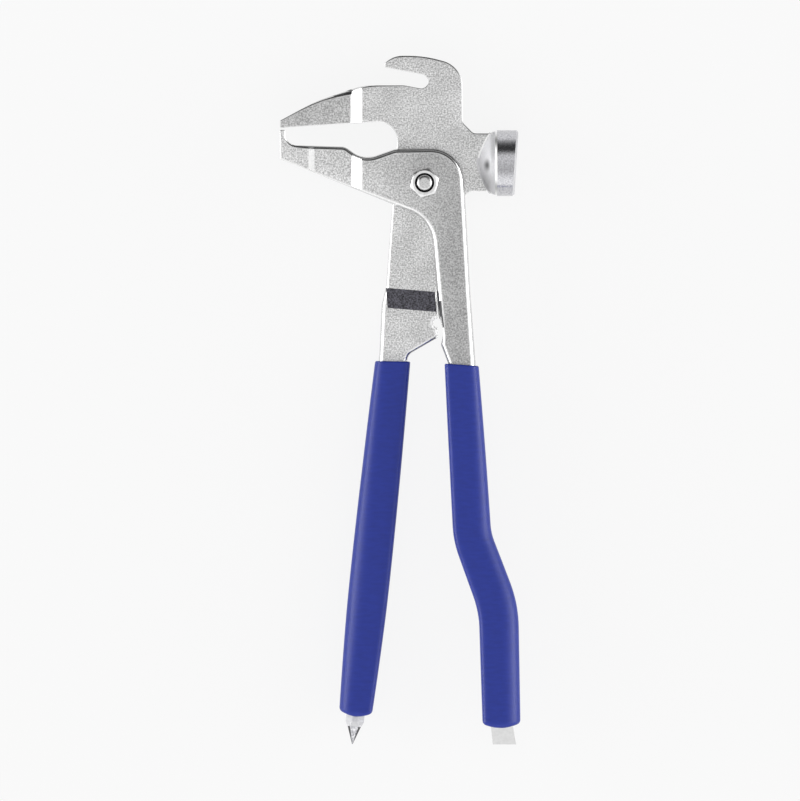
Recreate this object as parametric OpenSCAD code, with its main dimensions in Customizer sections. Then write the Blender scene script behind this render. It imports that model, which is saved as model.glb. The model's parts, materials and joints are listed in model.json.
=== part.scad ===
// Wheel weight pliers: two forged levers that lap on one bolt, with a hammer head,
// a prying hook and a pointed end on the back lever, and a claw and a flat
// prying blade on the front lever. Both shanks carry a slipped-on sleeve.
// Outline sizes are measured from the pivot, X towards the hammer, Y towards the hook.

/* [Joint] */
// Thickness of each forged lever
lever_t = 7; // [6:0.1:8]
// Gap between the levers where they lap, and under the nut
lap_gap = 0.1; // [0.06:0.01:0.2]
// Diameter of the pivot bolt
bolt_d = 6; // [5:0.1:7]
// Radial clearance of the levers on the bolt
bolt_fit = 0.05; // [0.02:0.01:0.08]
// Radial clearance of the nut on the bolt
nut_fit = 0.02; // [0.01:0.01:0.05]
// Width of the nut and of the bolt head across flats
hex_af = 10; // [8.5:0.5:12]
// Height of the nut
nut_h = 5; // [4:0.1:6]
// Height of the bolt head
bolt_head_h = 4; // [3:0.1:5]
// How far the bolt's rim stands proud of the nut
bolt_proud = 0.7; // [0.3:0.1:1.5]
// Height of the shallow crown on the bolt's end
bolt_crown = 0.5; // [0.2:0.1:1]
// Chamfer on the bolt's end and in the nut's mouth
thread_chamfer = 0.6; // [0.3:0.1:0.9]
// Turn of the nut and bolt head about the pivot
hex_turn = 16; // [0:1:59]
// Slope of the chamfer on the nut and bolt head, in degrees
hex_chamfer = 30; // [20:1:35]
// Width of the chamfer at the middle of each flat
hex_land = 0.3; // [0.1:0.05:0.6]

/* [Jaws] */
// Reach of both jaw tips from the pivot
jaw_reach = 55.6; // [50:0.1:62]
// Height of the upper jaw's biting tip above the pivot
bite_y = 21.2; // [20:0.1:23]
// Gap between the jaw tips at rest
bite_gap = 0.8; // [0.6:0.1:2]
// Height of the upper jaw's blunt tip
nose_tip_h = 2.8; // [2:0.1:3.5]
// Thickness of the upper jaw at its tip
nose_tip_t = 4.6; // [3.5:0.1:6]
// Distance of the upper jaw's crown behind its tip
crown_back = 14.1; // [11.5:0.1:17]
// Height of the upper jaw's crown
crown_y = 31.7; // [30.5:0.1:33]
// Distance from the pivot at which the nose reaches the head's top
nose_root_x = 23.5; // [21:0.1:25]
// Distance from the pivot at which both jaws leave their lever's plane
offset_start_x = 24.1; // [22:0.1:26]
// Length of the sloped stretch that brings each jaw to the middle plane
offset_run = 3.9; // [3.5:0.1:5]
// Height of the throat's top at its closed end
throat_top_y = 24.1; // [23:0.1:26]
// Distance of the throat's closed end from the pivot
throat_end_x = 9.9; // [8.5:0.1:11]
// Radius of the throat's upper closed corner
throat_r = 7.4; // [5:0.1:9]
// Height of the claw above the lower jaw's flat edge
claw_h = 5.8; // [5.4:0.1:7]
// Width of the claw's upturned tip
claw_tip_w = 1.9; // [1:0.1:2.5]
// Radius inside the claw
claw_r = 4.7; // [2:0.1:4.8]
// Height of the claw's heel above the pivot
heel_y = 9.2; // [8.2:0.1:10.2]
// Distance of the gullet's left end from the pivot
gullet_start_x = 30.3; // [28.5:0.1:32]
// Distance of the gullet's deepest point from the pivot
gullet_x = 24; // [23:0.1:26]
// Height of the gullet's deepest point above the pivot
gullet_y = 10.2; // [9:0.1:11]
// Distance of the gullet's right end from the pivot
gullet_end_x = 10.6; // [9:0.1:12]
// Depth to which the lower jaw is thinned behind its claw
jaw_relief = 1.2; // [0.6:0.1:2]
// Length of the full-thickness claw from the tip
claw_len = 11; // [9:0.1:13]
// Length of the slope between claw and thinned jaw
relief_run = 2.4; // [1.6:0.1:3]

/* [Hook] */
// Height of the hook's top above the pivot
hook_top_y = 49.05; // [48:0.05:51]
// Height of the head's top edge beside the slot
head_top_y = 37.6; // [37:0.1:38.2]
// Distance of the slot's closed end, its centre, from the pivot
slot_x = 1.3; // [0:0.1:3]
// Height of the slot's closed end, its centre, above the pivot
slot_y = 39.1; // [38.8:0.1:40]
// Radius of the slot's closed end
slot_r = 2.7; // [2.5:0.05:3]
// Upward slope of the slot towards its mouth, in degrees
slot_slope = 10.8; // [9:0.1:13]
// Length of the hook from the slot's centre
hook_len = 14.9; // [13:0.1:17]
// Height of the hook's blunt tip
hook_tip_h = 1.9; // [1.2:0.1:2.4]
// Slope of the hook's nose above its tip, in degrees
hook_nose_slope = 45; // [35:1:60]
// Distance of the hook's crown from the pivot
hook_crown_x = 0.2; // [0:0.1:3]
// Height of the hook's rounded shoulder above the pivot
shoulder_y = 44.8; // [43:0.1:45.8]
// Distance of the head's back edge from the pivot
back_x = 14.6; // [13.8:0.1:16]

/* [Hammer] */
// Diameter of the hammer head
hammer_d = 25.4; // [24:0.1:28]
// Height of the hammer's axis above the pivot
hammer_y = 7.7; // [7:0.1:9]
// Distance of the striking face from the pivot
face_x = 35.4; // [33.5:0.1:38]
// Angle of the striking face from square, in degrees
face_tilt = 3.5; // [0:0.5:5]
// Length of the head's cylinder
hammer_len = 7.2; // [5.5:0.1:8]
// Distance of the cone's point, inside the plate, from the pivot
cone_start_x = 18.6; // [17.5:0.1:19.5]
// Length of the shallow shoulder between cone and cylinder
cone_shoulder = 3.3; // [2.5:0.1:4]
// Radius lost over the shallow shoulder
cone_step = 0.8; // [0.4:0.1:1.2]
// Height of the neck above the hammer's axis
neck_rise = 11.4; // [10.5:0.1:11.5]
// Depth of the neck below the hammer's axis
neck_drop = 11; // [10:0.1:11.2]
// Size of the slanted web between neck and back edge
neck_web = 4.2; // [3:0.1:5]

/* [Back lever] */
// Distance of the back lever's widest right edge from the pivot
hip_x = 14.8; // [13.5:0.1:15]
// Depth of that edge's lower end below the pivot
hip_y = 9; // [8:0.1:12]
// Distance of the back lever's narrow right edge from the pivot
waist_x = 5.1; // [4.5:0.1:5.4]
// Depth of the waist's upper end below the pivot
waist_y = 43; // [40:0.1:45]
// Radius of the wire notch
notch_r = 2; // [1.5:0.1:2.6]
// Depth of the wire notch below the pivot
notch_y = 53.9; // [52:0.1:55]
// Depth of the shoulder's outer corner below the pivot
spur_y = 59.6; // [58.5:0.1:61]
// Distance of the left edge's knee from the pivot
knee_x = 14.7; // [14:0.1:15.2]
// Depth of the left edge's knee below the pivot
knee_y = 39.5; // [37:0.1:41]
// Outward step of the left edge below the knee
flare_w = 1.8; // [1:0.1:2.4]
// Length of that step
flare_len = 7.5; // [6:0.1:9]

/* [Front lever] */
// Height of the boss above the pivot
boss_top_y = 13.4; // [12.5:0.1:14]
// Distance of the boss's right edge from the pivot
boss_x = 14.6; // [14.4:0.1:15.4]
// Radius of the boss's corner
boss_r = 12.8; // [10:0.1:13]
// Distance of the arm's outer edge from the pivot, at its bend
arm_x = 17.6; // [17:0.1:18.2]
// Depth of that bend below the pivot
arm_y = 42; // [35:0.5:50]
// Distance of the armpit corner from the pivot
armpit_x = 2.5; // [1.5:0.1:3]
// Depth of the armpit corner below the pivot
armpit_y = 14.1; // [13:0.1:15]
// Radius of the armpit
armpit_r = 14; // [10:0.5:16]
// Distance of the inner edge's upper knee from the pivot
inner_knee_x = 4.7; // [4.3:0.1:5.1]
// Depth of the inner edge's upper knee below the pivot
inner_knee_y = 42; // [40:0.1:44]
// Distance of the inner edge's lower knee from the pivot
inner_low_x = 6.5; // [6.2:0.1:6.9]
// Depth of the inner edge's lower knee below the pivot
inner_low_y = 49.5; // [48:0.1:51]
// Distance of the inner edge's hollow from the pivot
inner_hollow_x = 7.3; // [7:0.1:7.7]
// Depth of the inner edge's hollow below the pivot
inner_hollow_y = 57; // [55:0.1:58]
// Distance of the inner edge's stop corner from the pivot
inner_end_x = 6.2; // [5.8:0.1:6.6]
// Depth of the inner edge's stop corner below the pivot
inner_end_y = 62.7; // [61.5:0.1:64]

/* [Left handle] */
// Distance of the left shank's root from the pivot
left_root_x = 11.8; // [11.4:0.1:12.1]
// Depth of the left shank's root below the pivot
left_root_y = 65.6; // [65:0.1:66.5]
// Sideways lean of the left shank, in degrees
left_lean = 6.07; // [5:0.01:7]
// Length of the bare end below the left sleeve, down to the spike's point
spike_out = 10.65; // [9:0.05:13]
// Width of the left shank at its root
left_root_w = 11.1; // [10:0.1:11.4]
// Width of the left shank at the spike
left_tip_w = 7.3; // [6.5:0.1:8.5]
// Half angle of the spike's point, in degrees
spike_angle = 22; // [18:0.5:26]
// Length of the spike's point
spike_len = 6.9; // [5:0.1:8]
// Half angle of the shoulder above the point, in degrees
spike_shoulder = 35; // [30:1:50]

/* [Right handle] */
// Distance of the right shank's root from the pivot
right_root_x = 14.4; // [14.1:0.1:14.7]
// Depth of the right shank's root below the pivot
right_root_y = 69.4; // [68.5:0.1:70.5]
// Distance of the upper bend from the pivot
upper_bend_x = 18.4; // [16.5:0.1:20]
// Depth of the upper bend below the pivot
upper_bend_y = 136.4; // [132:0.1:140]
// Distance of the lower bend from the pivot
lower_bend_x = 28.5; // [27:0.1:30]
// Depth of the lower bend below the pivot
lower_bend_y = 163.5; // [160:0.1:167]
// Sideways lean of the right shank below its lower bend, in degrees
right_lean = 1.43; // [0:0.01:3]
// Stretch of the prying blade that the right sleeve covers
blade_cover = 2.05; // [1:0.05:3]
// Length of the prying blade
blade_len = 8.6; // [7:0.1:11]
// Sideways lean of the prying blade, in degrees
blade_lean = 8; // [0:0.5:12]
// Width of the right shank at its root
right_root_w = 10.4; // [9.6:0.1:10.8]
// Width of the right shank at the upper bend
right_bend_w = 9; // [8:0.1:9.6]
// Width of the right shank at the blade's root
blade_root_w = 8.5; // [7.6:0.1:9]
// Width of the blade's edge
blade_tip_w = 9; // [8:0.1:10]
// Thickness of the blade's edge
blade_edge_t = 1.6; // [1:0.1:2.5]
// Bend radius of the right shank's upper bend
upper_bend_r = 31; // [24:1:40]
// Bend radius of the right shank's lower bend
lower_bend_r = 45; // [30:1:55]

/* [Sleeves] */
// Clearance of each sleeve on its shank
sleeve_fit = 0.05; // [0.02:0.01:0.1]
// Wall of the sleeves over the faces of the shanks
face_wall = 2.4; // [1.8:0.1:3]
// Bare shank between the left root and the sleeve's mouth
left_bare = 2.7; // [1:0.1:5]
// Bare shank between the right root and the sleeve's mouth
right_bare = 0.7; // [0.4:0.1:3]
// Length of the left sleeve
left_sleeve_len = 137.9; // [120:0.1:155]
// Length of the right sleeve
right_sleeve_len = 141.4; // [125:0.1:156]
// Side walls of the left sleeve at its mouth, middle and end
left_walls = [1.2, 3.3, 2.5]; // [1:0.05:4]
// Side walls of the right sleeve at its mouth, middle and end
right_walls = [1.3, 3.1, 3]; // [1:0.05:4]
// Sideways shift of the left sleeve's mouth on its shank
left_mouth_shift = -0.1; // [-0.5:0.05:0.5]
// Sideways shift of the right sleeve's mouth on its shank
right_mouth_shift = -0.15; // [-0.5:0.05:0.5]
// Slant of the left sleeve's mouth, in degrees
left_mouth_slant = 4.2; // [-8:0.1:8]
// Slant of the right sleeve's mouth, in degrees
right_mouth_slant = -6.2; // [-8:0.1:8]
// Radius on the sleeves' lower rims
rim_r = 2.2; // [1:0.1:2.3]

/* [Band] */
// Depth of the black band's middle below the pivot
band_y = 45; // [44:0.1:46]
// Height of the black band
band_h = 7.7; // [6:0.1:9]
// Thickness of the black band
band_t = 0.2; // [0.1:0.05:0.3]
// Bare edge left of the black band
band_left_margin = 1.5; // [1:0.1:2.5]
// Bare edge right of the black band
band_right_margin = 0.8; // [0.5:0.1:1.5]
// Slant of the black band across the lever, in degrees
band_slant = -4.7; // [-7:0.1:0]

/* [Hidden] */

// Fillets on the outlines, from the sharpest to the widest
edge_r = 0.4;
blunt_r = 0.9;
soft_r = 2.5;
root_r = 4;
wide_r = 7;
sweep_r = 20;
crown_r = 60;

// Finest step round an arc, in degrees, and fewest steps on any arc
arc_step = 12;
least_steps = 3;

// Smooth rounds for revolved and drilled shapes
round_fn = 64;
// Room by which a cutting solid passes the faces that it cuts
past = 1;

// Heights of the joint, from the lap plane between the levers
jaw_offset = (lever_t + lap_gap) / 2;
back_top = -lap_gap / 2;
back_low = back_top - lever_t;
front_low = lap_gap / 2;
front_top = front_low + lever_t;
back_mid = (back_top + back_low) / 2;
front_mid = (front_top + front_low) / 2;
nut_seat = front_top + lap_gap;

function unit(v) = v / norm(v);
function quarter_turn(v) = [-v.y, v.x];
function flat_xy(p) = [p.x, p.y];
function polar(r, a) = r * [cos(a), sin(a)];
function mix(a, b, t) = a + (b - a) * t;
function x_on_line(a, b, y) = a.x + (b.x - a.x) * (y - a.y) / (b.y - a.y);

// Arc round a middle, from one angle to another
function arc(middle, r, from, to) =
    let (steps = max(least_steps, ceil(abs(to - from) / arc_step)))
    [for (i = [0:steps]) middle + polar(r, mix(from, to, i / steps))];

// Arc that rounds the corner b between its neighbours a and c
function corner(a, b, c, r) =
    let (u = unit(a - b))
    let (v = unit(c - b))
    let (half = acos(u * v) / 2)
    let (middle = b + unit(u + v) * r / sin(half))
    let (start = b + u * r / tan(half) - middle)
    let (from = atan2(start.y, start.x))
    let (turn = (180 - 2 * half) * (cross(u, v) < 0 ? 1 : -1))
    arc(middle, r, from, from + turn);

function vertex(p, i) = flat_xy(p[(i + len(p)) % len(p)]);

// Closed outline from corners [x, y, radius], each one rounded by its radius
function rounded(p) = [
    for (i = [0:len(p) - 1])
        each (p[i][2] > 0 ? corner(vertex(p, i - 1), vertex(p, i), vertex(p, i + 1), p[i][2]) : [vertex(p, i)])
];

// Open path from corners [x, y, radius, half width], with both ends kept
function rounded_path(p) = [
    for (i = [0:len(p) - 1])
        each (i > 0 && i < len(p) - 1 ? corner(vertex(p, i - 1), vertex(p, i), vertex(p, i + 1), p[i][2]) : [vertex(p, i)])
];

// One side of a bar along a path: side is 1 for the right of the object and -1 for its left
function bar_side(p, side, extra) = [
    for (i = [0:len(p) - 1])
        let (before = unit(vertex(p, max(i, 1)) - vertex(p, max(i, 1) - 1)))
        let (after = unit(vertex(p, min(i, len(p) - 2) + 1) - vertex(p, min(i, len(p) - 2))))
        let (normal = unit(quarter_turn(before) + quarter_turn(after)))
        let (reach = (p[i][3] + extra) / (normal * quarter_turn(after)))
        let (bend = cross(before, after) > 0 ? -side : side)
        let (place = flat_xy(p[i]) + side * reach * normal)
        [place.x, place.y, p[i][2] > 0 ? p[i][2] + bend * (p[i][3] + extra) : 0]
];

function reversed(p) = [for (i = [len(p) - 1:-1:0]) p[i]];
function last(p) = p[len(p) - 1];

// Places along the slot, outwards from its closed end, and across it
slot_out = [-cos(slot_slope), sin(slot_slope)];
slot_up = [sin(slot_slope), cos(slot_slope)];
slot_middle = [-slot_x, slot_y];
function in_slot(along, across) = slot_middle + along * slot_out + across * slot_up;
function with_r(p, r) = [p.x, p.y, r];

lip_along = (head_top_y - slot_y + slot_r * slot_up.y) / slot_out.y;
hook_tip = in_slot(hook_len, slot_r + hook_tip_h);
floor_y = bite_y - bite_gap - claw_h;
crown_x = jaw_reach - crown_back;
neck_top_y = hammer_y + neck_rise;
neck_low_y = hammer_y - neck_drop;

// Ends of the shanks, placed by the sleeves that they carry
left_root = [-left_root_x, -left_root_y];
spike_tip = left_root + (left_bare + left_sleeve_len + spike_out) * [-sin(left_lean), -cos(left_lean)];
right_root = [right_root_x, -right_root_y];
upper_bend = [upper_bend_x, -upper_bend_y];
lower_bend = [lower_bend_x, -lower_bend_y];
bent_len = norm(upper_bend - right_root) + norm(lower_bend - upper_bend);
straight_len = right_bare + right_sleeve_len - blade_cover - bent_len;
blade_root = lower_bend + straight_len * [sin(right_lean), -cos(right_lean)];

// Centre lines of the shanks: place, bend radius and half width at each corner
left_path = [
    [left_root.x, left_root.y, 0, left_root_w / 2],
    [spike_tip.x, spike_tip.y, 0, left_tip_w / 2]
];
blade_tip = blade_root + blade_len * [tan(blade_lean), -1];
right_path = [
    [right_root.x, right_root.y, 0, right_root_w / 2],
    [upper_bend.x, upper_bend.y, upper_bend_r, right_bend_w / 2],
    [lower_bend.x, lower_bend.y, lower_bend_r, right_bend_w / 2],
    [blade_root.x, blade_root.y, 0, blade_root_w / 2]
];

left_bar_right = bar_side(left_path, 1, 0);
left_bar_left = bar_side(left_path, -1, 0);
right_bar_right = bar_side(right_path, 1, 0);
right_bar_left = bar_side(right_path, -1, 0);

knee = [-knee_x, -knee_y];
flare = [-knee_x - flare_w, -knee_y - flare_len];

// Outline of the back lever, from the upper jaw's tip over the hook, the hammer's
// neck and the handle, and back through the throat
hammer_outline = rounded(concat(
    [[-jaw_reach, bite_y, edge_r]],
    [[-jaw_reach, bite_y + nose_tip_h, edge_r]],
    [[-crown_x, crown_y, crown_r]],
    [[-nose_root_x, head_top_y, sweep_r]],
    [with_r(in_slot(lip_along, -slot_r), wide_r)],
    [for (p = arc(slot_middle, slot_r, -slot_slope - 90, 90 - slot_slope)) with_r(p, 0)],
    [with_r(in_slot(hook_len, slot_r), edge_r)],
    [with_r(hook_tip, edge_r)],
    [[hook_tip.x + (hook_top_y - hook_tip.y) / tan(hook_nose_slope), hook_top_y, root_r]],
    [[hook_crown_x, hook_top_y, sweep_r]],
    [[back_x, shoulder_y, wide_r]],
    [[back_x, neck_top_y + neck_web, soft_r]],
    [[back_x + neck_web, neck_top_y, soft_r]],
    [[face_x - hammer_len / 2, neck_top_y, 0]],
    [[face_x - hammer_len / 2, neck_low_y, 0]],
    [[hip_x, neck_low_y, root_r]],
    [[hip_x, -hip_y, wide_r]],
    [[waist_x, -waist_y, sweep_r]],
    [[waist_x, -spur_y, blunt_r]],
    [with_r(left_bar_right[0], root_r)],
    [last(left_bar_right)],
    [last(left_bar_left)],
    [left_bar_left[0]],
    [with_r(flare, soft_r)],
    [with_r(knee, wide_r)],
    [[-throat_end_x, throat_top_y, throat_r]]
));

// Outline of the front lever, from the claw over the boss, down the handle and
// back up its inner edge to the armpit and the lower jaw
claw_outline = rounded(concat(
    [[-jaw_reach, heel_y, blunt_r]],
    [[-jaw_reach, bite_y - bite_gap, edge_r]],
    [[-jaw_reach + claw_tip_w, bite_y - bite_gap, edge_r]],
    [[-jaw_reach + claw_tip_w, floor_y, claw_r]],
    [[-gullet_start_x, floor_y, soft_r]],
    [[-gullet_x, gullet_y, wide_r]],
    [[-gullet_end_x, boss_top_y, sweep_r]],
    [[boss_x, boss_top_y, boss_r]],
    [[arm_x, -arm_y, crown_r]],
    right_bar_right,
    [[blade_tip.x + blade_tip_w / 2, blade_tip.y, 0]],
    [[blade_tip.x - blade_tip_w / 2, blade_tip.y, 0]],
    reversed(right_bar_left),
    [[inner_end_x, -inner_end_y, blunt_r]],
    [[inner_hollow_x, -inner_hollow_y, soft_r]],
    [[inner_low_x, -inner_low_y, wide_r]],
    [[inner_knee_x, -inner_knee_y, wide_r]],
    [[armpit_x, -armpit_y, armpit_r]]
));

// Lengths along a line, and its places as tables over them
function run_lengths(p) = [for (i = 0, sum = 0; i < len(p); sum = sum + (i + 1 < len(p) ? norm(p[i + 1] - p[i]) : 0), i = i + 1) sum];
function x_table(p) = [for (i = [0:len(p) - 1]) [run_lengths(p)[i], p[i].x]];
function y_table(p) = [for (i = [0:len(p) - 1]) [run_lengths(p)[i], p[i].y]];

// Rings of a sleeve
ring_sides = 28;
ring_step = 5;
rim_rings = 4;
slant_fade = 25;
shift_fade = 40;
// Squareness of a sleeve's section: 2 is an ellipse, more is squarer
section_power = 2.6;
// Where a sleeve's walls reach their middle value, and where they leave it, as shares of its length
swell_end = 0.67;
taper_start = 0.7;
swell_power = 1.5;

function sleeve_wall(walls, t) =
    walls[1]
    - (walls[1] - walls[0]) * pow(max(0, 1 - t / swell_end), swell_power)
    - (walls[1] - walls[2]) * pow(max(0, (t - taper_start) / (1 - taper_start)), swell_power);

function squared(c) = sign(c) * pow(abs(c), 2 / section_power);

// Width of a shank at a length along its corners' line
function width_table(p) = [
    for (i = 0, sum = 0; i < len(p); sum = sum + (i + 1 < len(p) ? norm(flat_xy(p[i + 1]) - flat_xy(p[i])) : 0), i = i + 1)
        [sum, 2 * p[i][3]]
];

// One ring of a sleeve at a length from its mouth, drawn in by inset
function sleeve_ring(xs, ys, widths, bare, length, at, inset, walls, shift, slant, mid) =
    let (here = bare + at)
    let (ahead = [lookup(here + past, xs), lookup(here + past, ys)])
    let (behind = [lookup(here - past, xs), lookup(here - past, ys)])
    let (down = unit(ahead - behind))
    let (right = quarter_turn(down))
    let (centre = [lookup(here, xs), lookup(here, ys)] + right * shift * max(0, 1 - at / shift_fade))
    let (half = lookup(here, widths) / 2 + sleeve_fit + sleeve_wall(walls, at / length) - inset)
    let (deep = lever_t / 2 + sleeve_fit + face_wall - inset)
    let (shear = tan(slant) * max(0, 1 - at / slant_fade))
    [
        for (k = [0:ring_sides - 1])
            let (a = k * 360 / ring_sides)
            let (across = half * squared(cos(a)))
            let (place = centre + right * across - down * across * shear)
            [place.x, place.y, mid + deep * squared(sin(a))]
    ];

// Line that runs on straight past its end
function run_on(line, reach) = concat(line, [last(line) + reach * unit(last(line) - line[len(line) - 2])]);

// All rings of a sleeve: even rings down to the rim, then the rounded rim
function sleeve_rings(p, bare, length, walls, shift, slant, mid) =
    let (line = run_on(rounded_path(p), blade_len))
    let (xs = x_table(line))
    let (ys = y_table(line))
    let (widths = width_table(p))
    let (even = ceil((length - rim_r) / ring_step))
    concat(
        [for (i = [0:even]) sleeve_ring(xs, ys, widths, bare, length, (length - rim_r) * i / even, 0, walls, shift, slant, mid)],
        [for (i = [1:rim_rings])
            let (a = 90 * i / rim_rings)
            sleeve_ring(xs, ys, widths, bare, length, length - rim_r + rim_r * sin(a), rim_r * (1 - cos(a)), walls, shift, slant, mid)]
    );

// Outlines of the sleeves' bores, from just outside their mouths past the shanks' ends
function from_mouth(p) = concat(
    [concat(vertex(p, 0) - (past + sleeve_fit) * unit(vertex(p, 1) - vertex(p, 0)), [0, p[0][3]])],
    [for (i = [1:len(p) - 1]) p[i]]
);

left_bore = rounded(concat(
    bar_side(from_mouth(left_path), 1, sleeve_fit),
    reversed(bar_side(from_mouth(left_path), -1, sleeve_fit))
));
right_bore = rounded(concat(
    bar_side(from_mouth(right_path), 1, sleeve_fit),
    [with_r(blade_tip + [blade_tip_w / 2 + sleeve_fit, 0], 0)],
    [with_r(blade_tip - [blade_tip_w / 2 + sleeve_fit, 0], 0)],
    reversed(bar_side(from_mouth(right_path), -1, sleeve_fit))
));

left_rings = sleeve_rings(left_path, left_bare, left_sleeve_len, left_walls, left_mouth_shift, left_mouth_slant, back_mid);
right_rings = sleeve_rings(right_path, right_bare, right_sleeve_len, right_walls, right_mouth_shift, right_mouth_slant, front_mid);

// The frame's origin: the middle of the whole outline, under the hammer head
left_reach = -jaw_reach;
right_reach = max([for (ring = right_rings) for (p = ring) p.x]);
low_reach = min(spike_tip.y, min([for (p = claw_outline) p.y]));
origin = [(left_reach + right_reach) / 2, (hook_top_y + low_reach) / 2, back_mid - hammer_d / 2];

// Solid between two heights over an outline
module plate(outline, low, high) {
    translate([0, 0, low])
        linear_extrude(high - low)
            polygon(outline);
}

// Solid with a side profile [x, z], between two places along Y
module side_profile(profile, from_y, to_y) {
    translate([0, to_y, 0])
        rotate([90, 0, 0])
            linear_extrude(to_y - from_y)
                polygon(profile);
}

// Slab that holds everything below the pivot
module handle_slab(low, high) {
    size_x = 2 * (jaw_reach + past);
    translate([-size_x / 2, low_reach - past, low])
        cube([size_x, -low_reach + past, high - low]);
}

module bolt_hole() {
    translate([0, 0, back_low - past])
        cylinder(d = bolt_d + 2 * bolt_fit, h = front_top - back_low + 2 * past, $fn = round_fn);
}

jaw_end = -jaw_reach - past;
far_x = jaw_reach;
offset_end_x = offset_start_x + offset_run;

// Side profile of the back lever: flat plate, slope towards the front, tapered nose
back_profile = [
    [far_x, back_low],
    [far_x, back_top],
    [-offset_start_x, back_top],
    [-offset_end_x, back_top + jaw_offset],
    [jaw_end, nose_tip_t / 2],
    [jaw_end, -nose_tip_t / 2],
    [-offset_end_x, back_low + jaw_offset],
    [-offset_start_x, back_low]
];

// Side profile of the front lever: flat plate, slope towards the back, thinned jaw, full claw
claw_start_x = jaw_reach - claw_len;
front_profile = [
    [far_x, front_low],
    [far_x, front_top],
    [-offset_start_x + jaw_relief, front_top],
    [-offset_end_x, front_top - jaw_offset - jaw_relief],
    [-claw_start_x + relief_run, front_top - jaw_offset - jaw_relief],
    [-claw_start_x, front_top - jaw_offset],
    [jaw_end, front_top - jaw_offset],
    [jaw_end, front_low - jaw_offset],
    [-offset_end_x, front_low - jaw_offset],
    [-offset_start_x, front_low]
];

// Hammer head: steep cone out of the plate, shallow shoulder and cylinder, with a flat face
module hammer_head() {
    r = hammer_d / 2;
    cylinder_x = face_x - hammer_len;
    past_face = face_x + hammer_d * tan(face_tilt) + past;
    shoulder = [r - cone_step, cylinder_x - cone_shoulder];
    profile = [[0, cone_start_x], shoulder, [r, cylinder_x], [r, past_face], [0, past_face]];
    difference() {
        translate([0, hammer_y, back_mid])
            rotate([0, 90, 0])
                rotate_extrude($fn = round_fn)
                    polygon(profile);
        translate([face_x, hammer_y, back_mid])
            rotate([0, 0, -face_tilt])
                translate([0, -hammer_d, -hammer_d])
                    cube(2 * hammer_d);
    }
}

// Everything near the spike that lies outside its point and shoulder
module spike_waste() {
    down = unit(spike_tip - left_root);
    reach = lever_t + left_tip_w;
    point_r = spike_len * tan(spike_angle);
    length = spike_len + (reach - point_r) / tan(spike_shoulder);
    translate([spike_tip.x, spike_tip.y, back_mid])
        rotate([0, 0, atan2(-down.y, -down.x)])
            rotate([0, 90, 0])
                rotate_extrude($fn = round_fn)
                    polygon([[0, 0], [point_r, spike_len], [reach, length], [reach, -past], [0, -past]]);
}

// Wedge above or below the prying blade: side is 1 for the front face and -1 for the back
module blade_waste(side) {
    down = unit(blade_tip - blade_root);
    drop = (lever_t - blade_edge_t) / 2;
    surface = front_mid + side * lever_t / 2;
    slope = drop / blade_len;
    far = blade_len + past;
    outside = surface + side * past;
    wedge = [[0, surface], [far, surface - side * slope * far], [far, outside], [0, outside]];
    translate([blade_root.x, blade_root.y, 0])
        rotate([0, 0, atan2(down.y, down.x)])
            translate([0, lever_t + blade_tip_w, 0])
                rotate([90, 0, 0])
                    linear_extrude(2 * (lever_t + blade_tip_w))
                        polygon(wedge);
}

// Six-sided blank with its corners cut back by a cone: ends is a list of the ends to cut, 0 low and 1 high
module hex_blank(height, ends) {
    corner_r = hex_af / 2 / cos(30);
    ring_r = hex_af / 2 - hex_land;
    far_r = corner_r + past;
    fall = (far_r - ring_r) * tan(hex_chamfer);
    intersection() {
        rotate([0, 0, hex_turn])
            cylinder(r = corner_r, h = height, $fn = 6);
        translate([0, 0, ends[0] == 1 ? 0 : -past])
            rotate_extrude($fn = round_fn)
                polygon(concat(
                    [[0, 0]],
                    ends[0] == 1 ? [[ring_r, 0], [far_r, fall], [far_r, height + past]] : [[far_r, 0]],
                    ends[1] == 1 ? [[far_r, height + past - fall], [ring_r, height + past]] : [],
                    [[0, height + past]]
                ));
    }
}

module sleeve(rings, bore, mid) {
    points = [for (ring = rings) each ring];
    count = len(rings);
    sides = [
        for (i = [0:count - 2])
            for (k = [0:ring_sides - 1])
                let (m = (k + 1) % ring_sides)
                each [
                    [i * ring_sides + k, (i + 1) * ring_sides + k, (i + 1) * ring_sides + m],
                    [i * ring_sides + k, (i + 1) * ring_sides + m, i * ring_sides + m]
                ]
    ];
    mouth = [for (k = [0:ring_sides - 1]) k];
    end = [for (k = [ring_sides - 1:-1:0]) (count - 1) * ring_sides + k];
    difference() {
        polyhedron(points, concat([mouth], sides, [end]));
        plate(bore, mid - lever_t / 2 - sleeve_fit, mid + lever_t / 2 + sleeve_fit);
    }
}

module hammer_lever() {
    color([0.74, 0.74, 0.74])
        difference() {
            union() {
                intersection() {
                    plate(hammer_outline, back_low - past, back_top + jaw_offset + past);
                    union() {
                        handle_slab(back_low, back_top);
                        side_profile(back_profile, 0, hook_top_y + past);
                    }
                }
                hammer_head();
            }
            bolt_hole();
            translate([waist_x, -notch_y, back_low - past])
                cylinder(r = notch_r, h = lever_t + 2 * past, $fn = round_fn);
            spike_waste();
        }
}

module claw_lever() {
    color([0.7, 0.7, 0.7])
        difference() {
            intersection() {
                plate(claw_outline, front_low - jaw_offset - past, front_top + past);
                union() {
                    handle_slab(front_low, front_top);
                    side_profile(front_profile, -armpit_y / 2, hook_top_y);
                }
            }
            bolt_hole();
            blade_waste(1);
            blade_waste(-1);
        }
}

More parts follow.
